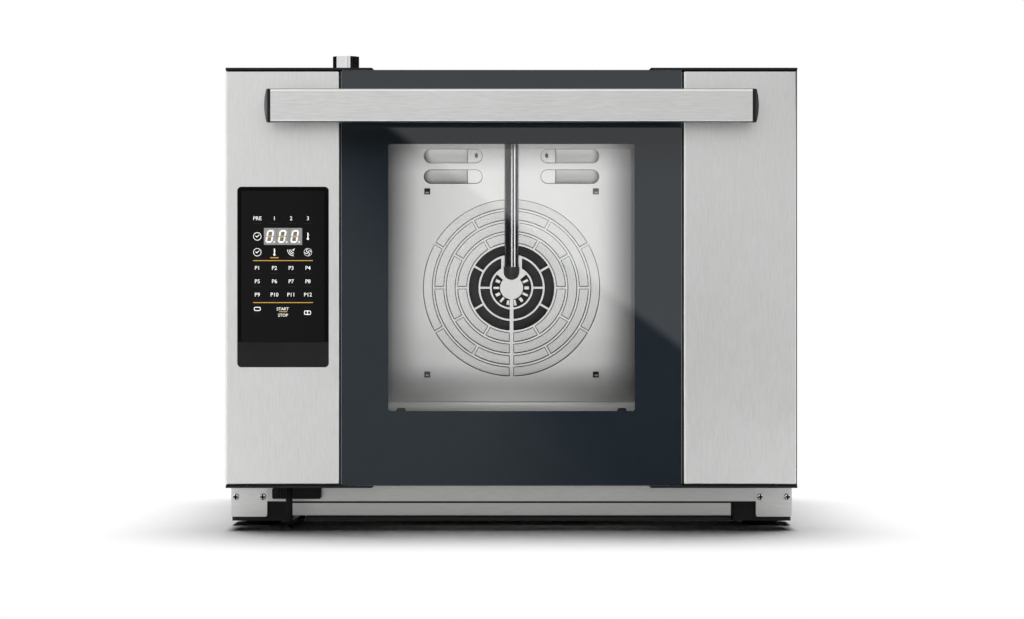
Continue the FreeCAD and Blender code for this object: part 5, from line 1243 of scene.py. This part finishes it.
def make_flags():
    """A dark screen beside and behind the object, which only polished metal shows."""
    shader = blank("flag")[1]
    set_sockets(shader, Base_Color=(0.02, 0.02, 0.02), Roughness=1.0, Specular_IOR_Level=0.0)
    low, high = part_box("chimney")
    centre = ((low.x + high.x) / 2, (low.y + high.y) / 2)
    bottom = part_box("top_panel")[1].z
    places = arc(centre, FLAG_DISTANCE, FLAG_START, FLAG_END, 24)
    corners = [(x, y, z) for x, y in places for z in (bottom, bottom + FLAG_HEIGHT)]
    faces = [(2 * n, 2 * n + 1, 2 * n + 3, 2 * n + 2) for n in range(len(places) - 1)]
    mesh = bpy.data.meshes.new("flag")
    mesh.from_pydata(corners, [], faces)
    mesh.materials.append(LOOKS["flag"])
    flag = bpy.data.objects.new("flag", mesh)
    scene.collection.objects.link(flag)
    hide_from(flag, "camera", "diffuse", "shadow", "transmission", "volume_scatter")


OVERHEAD_DIRECTION, OVERHEAD_WIDTH, OVERHEAD_STRENGTH = (0, -0.26, -0.97), 31, 3.4
SOFT_AIM, SOFT_SIZE = (0, -0.2, 0.25), (1.6, 1.6)
FRONT_WIDTH = 6.5
# Name, place and power of the soft lamps beside the camera
SOFT_LAMPS = (("key", (-2.4, -2.4, 2.0), 70), ("fill", (2.4, -2.4, 1.6), 35))
# Name, rise and strength of the far lamps that shine into the chamber
FRONT_LAMPS = (("front", 0.06, 3.0), ("front_low", 0.2, 1.45))
# Name, place, aim, size, power and lit nodes of the small lamps in the chamber
FLOOR_LAMPS = (
    ("chamber_floor", (0.02, 0.03, 0.29), (0.02, 0.03, 0.1), (0.14, 0.06), 0.19, ("cavity_shell",)),
    (
        "guard_foot",
        (0.0, 0.03, 0.145),
        (0.0, 0.14, 0.128),
        (0.14, 0.02),
        0.04,
        ("cavity_shell", "fan_guard"),
    ),
)
PIPE_LAMPS = (
    ("pipe_front", (0.03, -0.2, 0.35), (0.03, 0.12, 0.35), (0.08, 0.16), 0.45, ("steam_pipe",)),
    ("pipe_side", (0.13, 0.016, 0.35), (-0.13, 0.016, 0.35), (0.075, 0.16), 0.4, ("steam_pipe",)),
)


def make_lamps(floor, small_parts):
    """Lamps for the outside, and others that light only the chamber and what stands in it."""
    far_lamp("overhead", OVERHEAD_DIRECTION, OVERHEAD_WIDTH, OVERHEAD_STRENGTH)
    chamber = inside_cavity()
    for name, place, power in SOFT_LAMPS:
        lamp = area_lamp(name, place, SOFT_AIM, SOFT_SIZE, power)
        hide_from(lamp, "glossy")
        aim_lamp(lamp, [floor, *chamber], "EXCLUDE")
    for name, rise, strength in FRONT_LAMPS:
        lamp = far_lamp(name, (0, 1, rise), FRONT_WIDTH, strength)
        aim_lamp(lamp, [*chamber, *small_parts], "INCLUDE")
    for *lamp_sizes, lit in FLOOR_LAMPS + PIPE_LAMPS:
        aim_lamp(area_lamp(*lamp_sizes), [nodes[name] for name in lit], "INCLUDE")
    for name, *_ in PIPE_LAMPS:
        hide_from(scene.objects[name], "camera", "transmission")


make_camera()
dress_nodes()
make_cable()
make_glass_print()
make_pane_edges()
make_panel_marks()
make_figures()
make_guard_rims()
sleeve = make_hub_sleeve()
glints = make_fastener_glints()
make_tab_shades()
make_stiffener_screws()
make_screw_recesses()
make_skin_fold()
make_casing_seams()
make_base_joint()
make_base_rail()
make_world()
floor = make_floor()
make_card()
make_flags()
make_lamps(floor, [sleeve, glints])
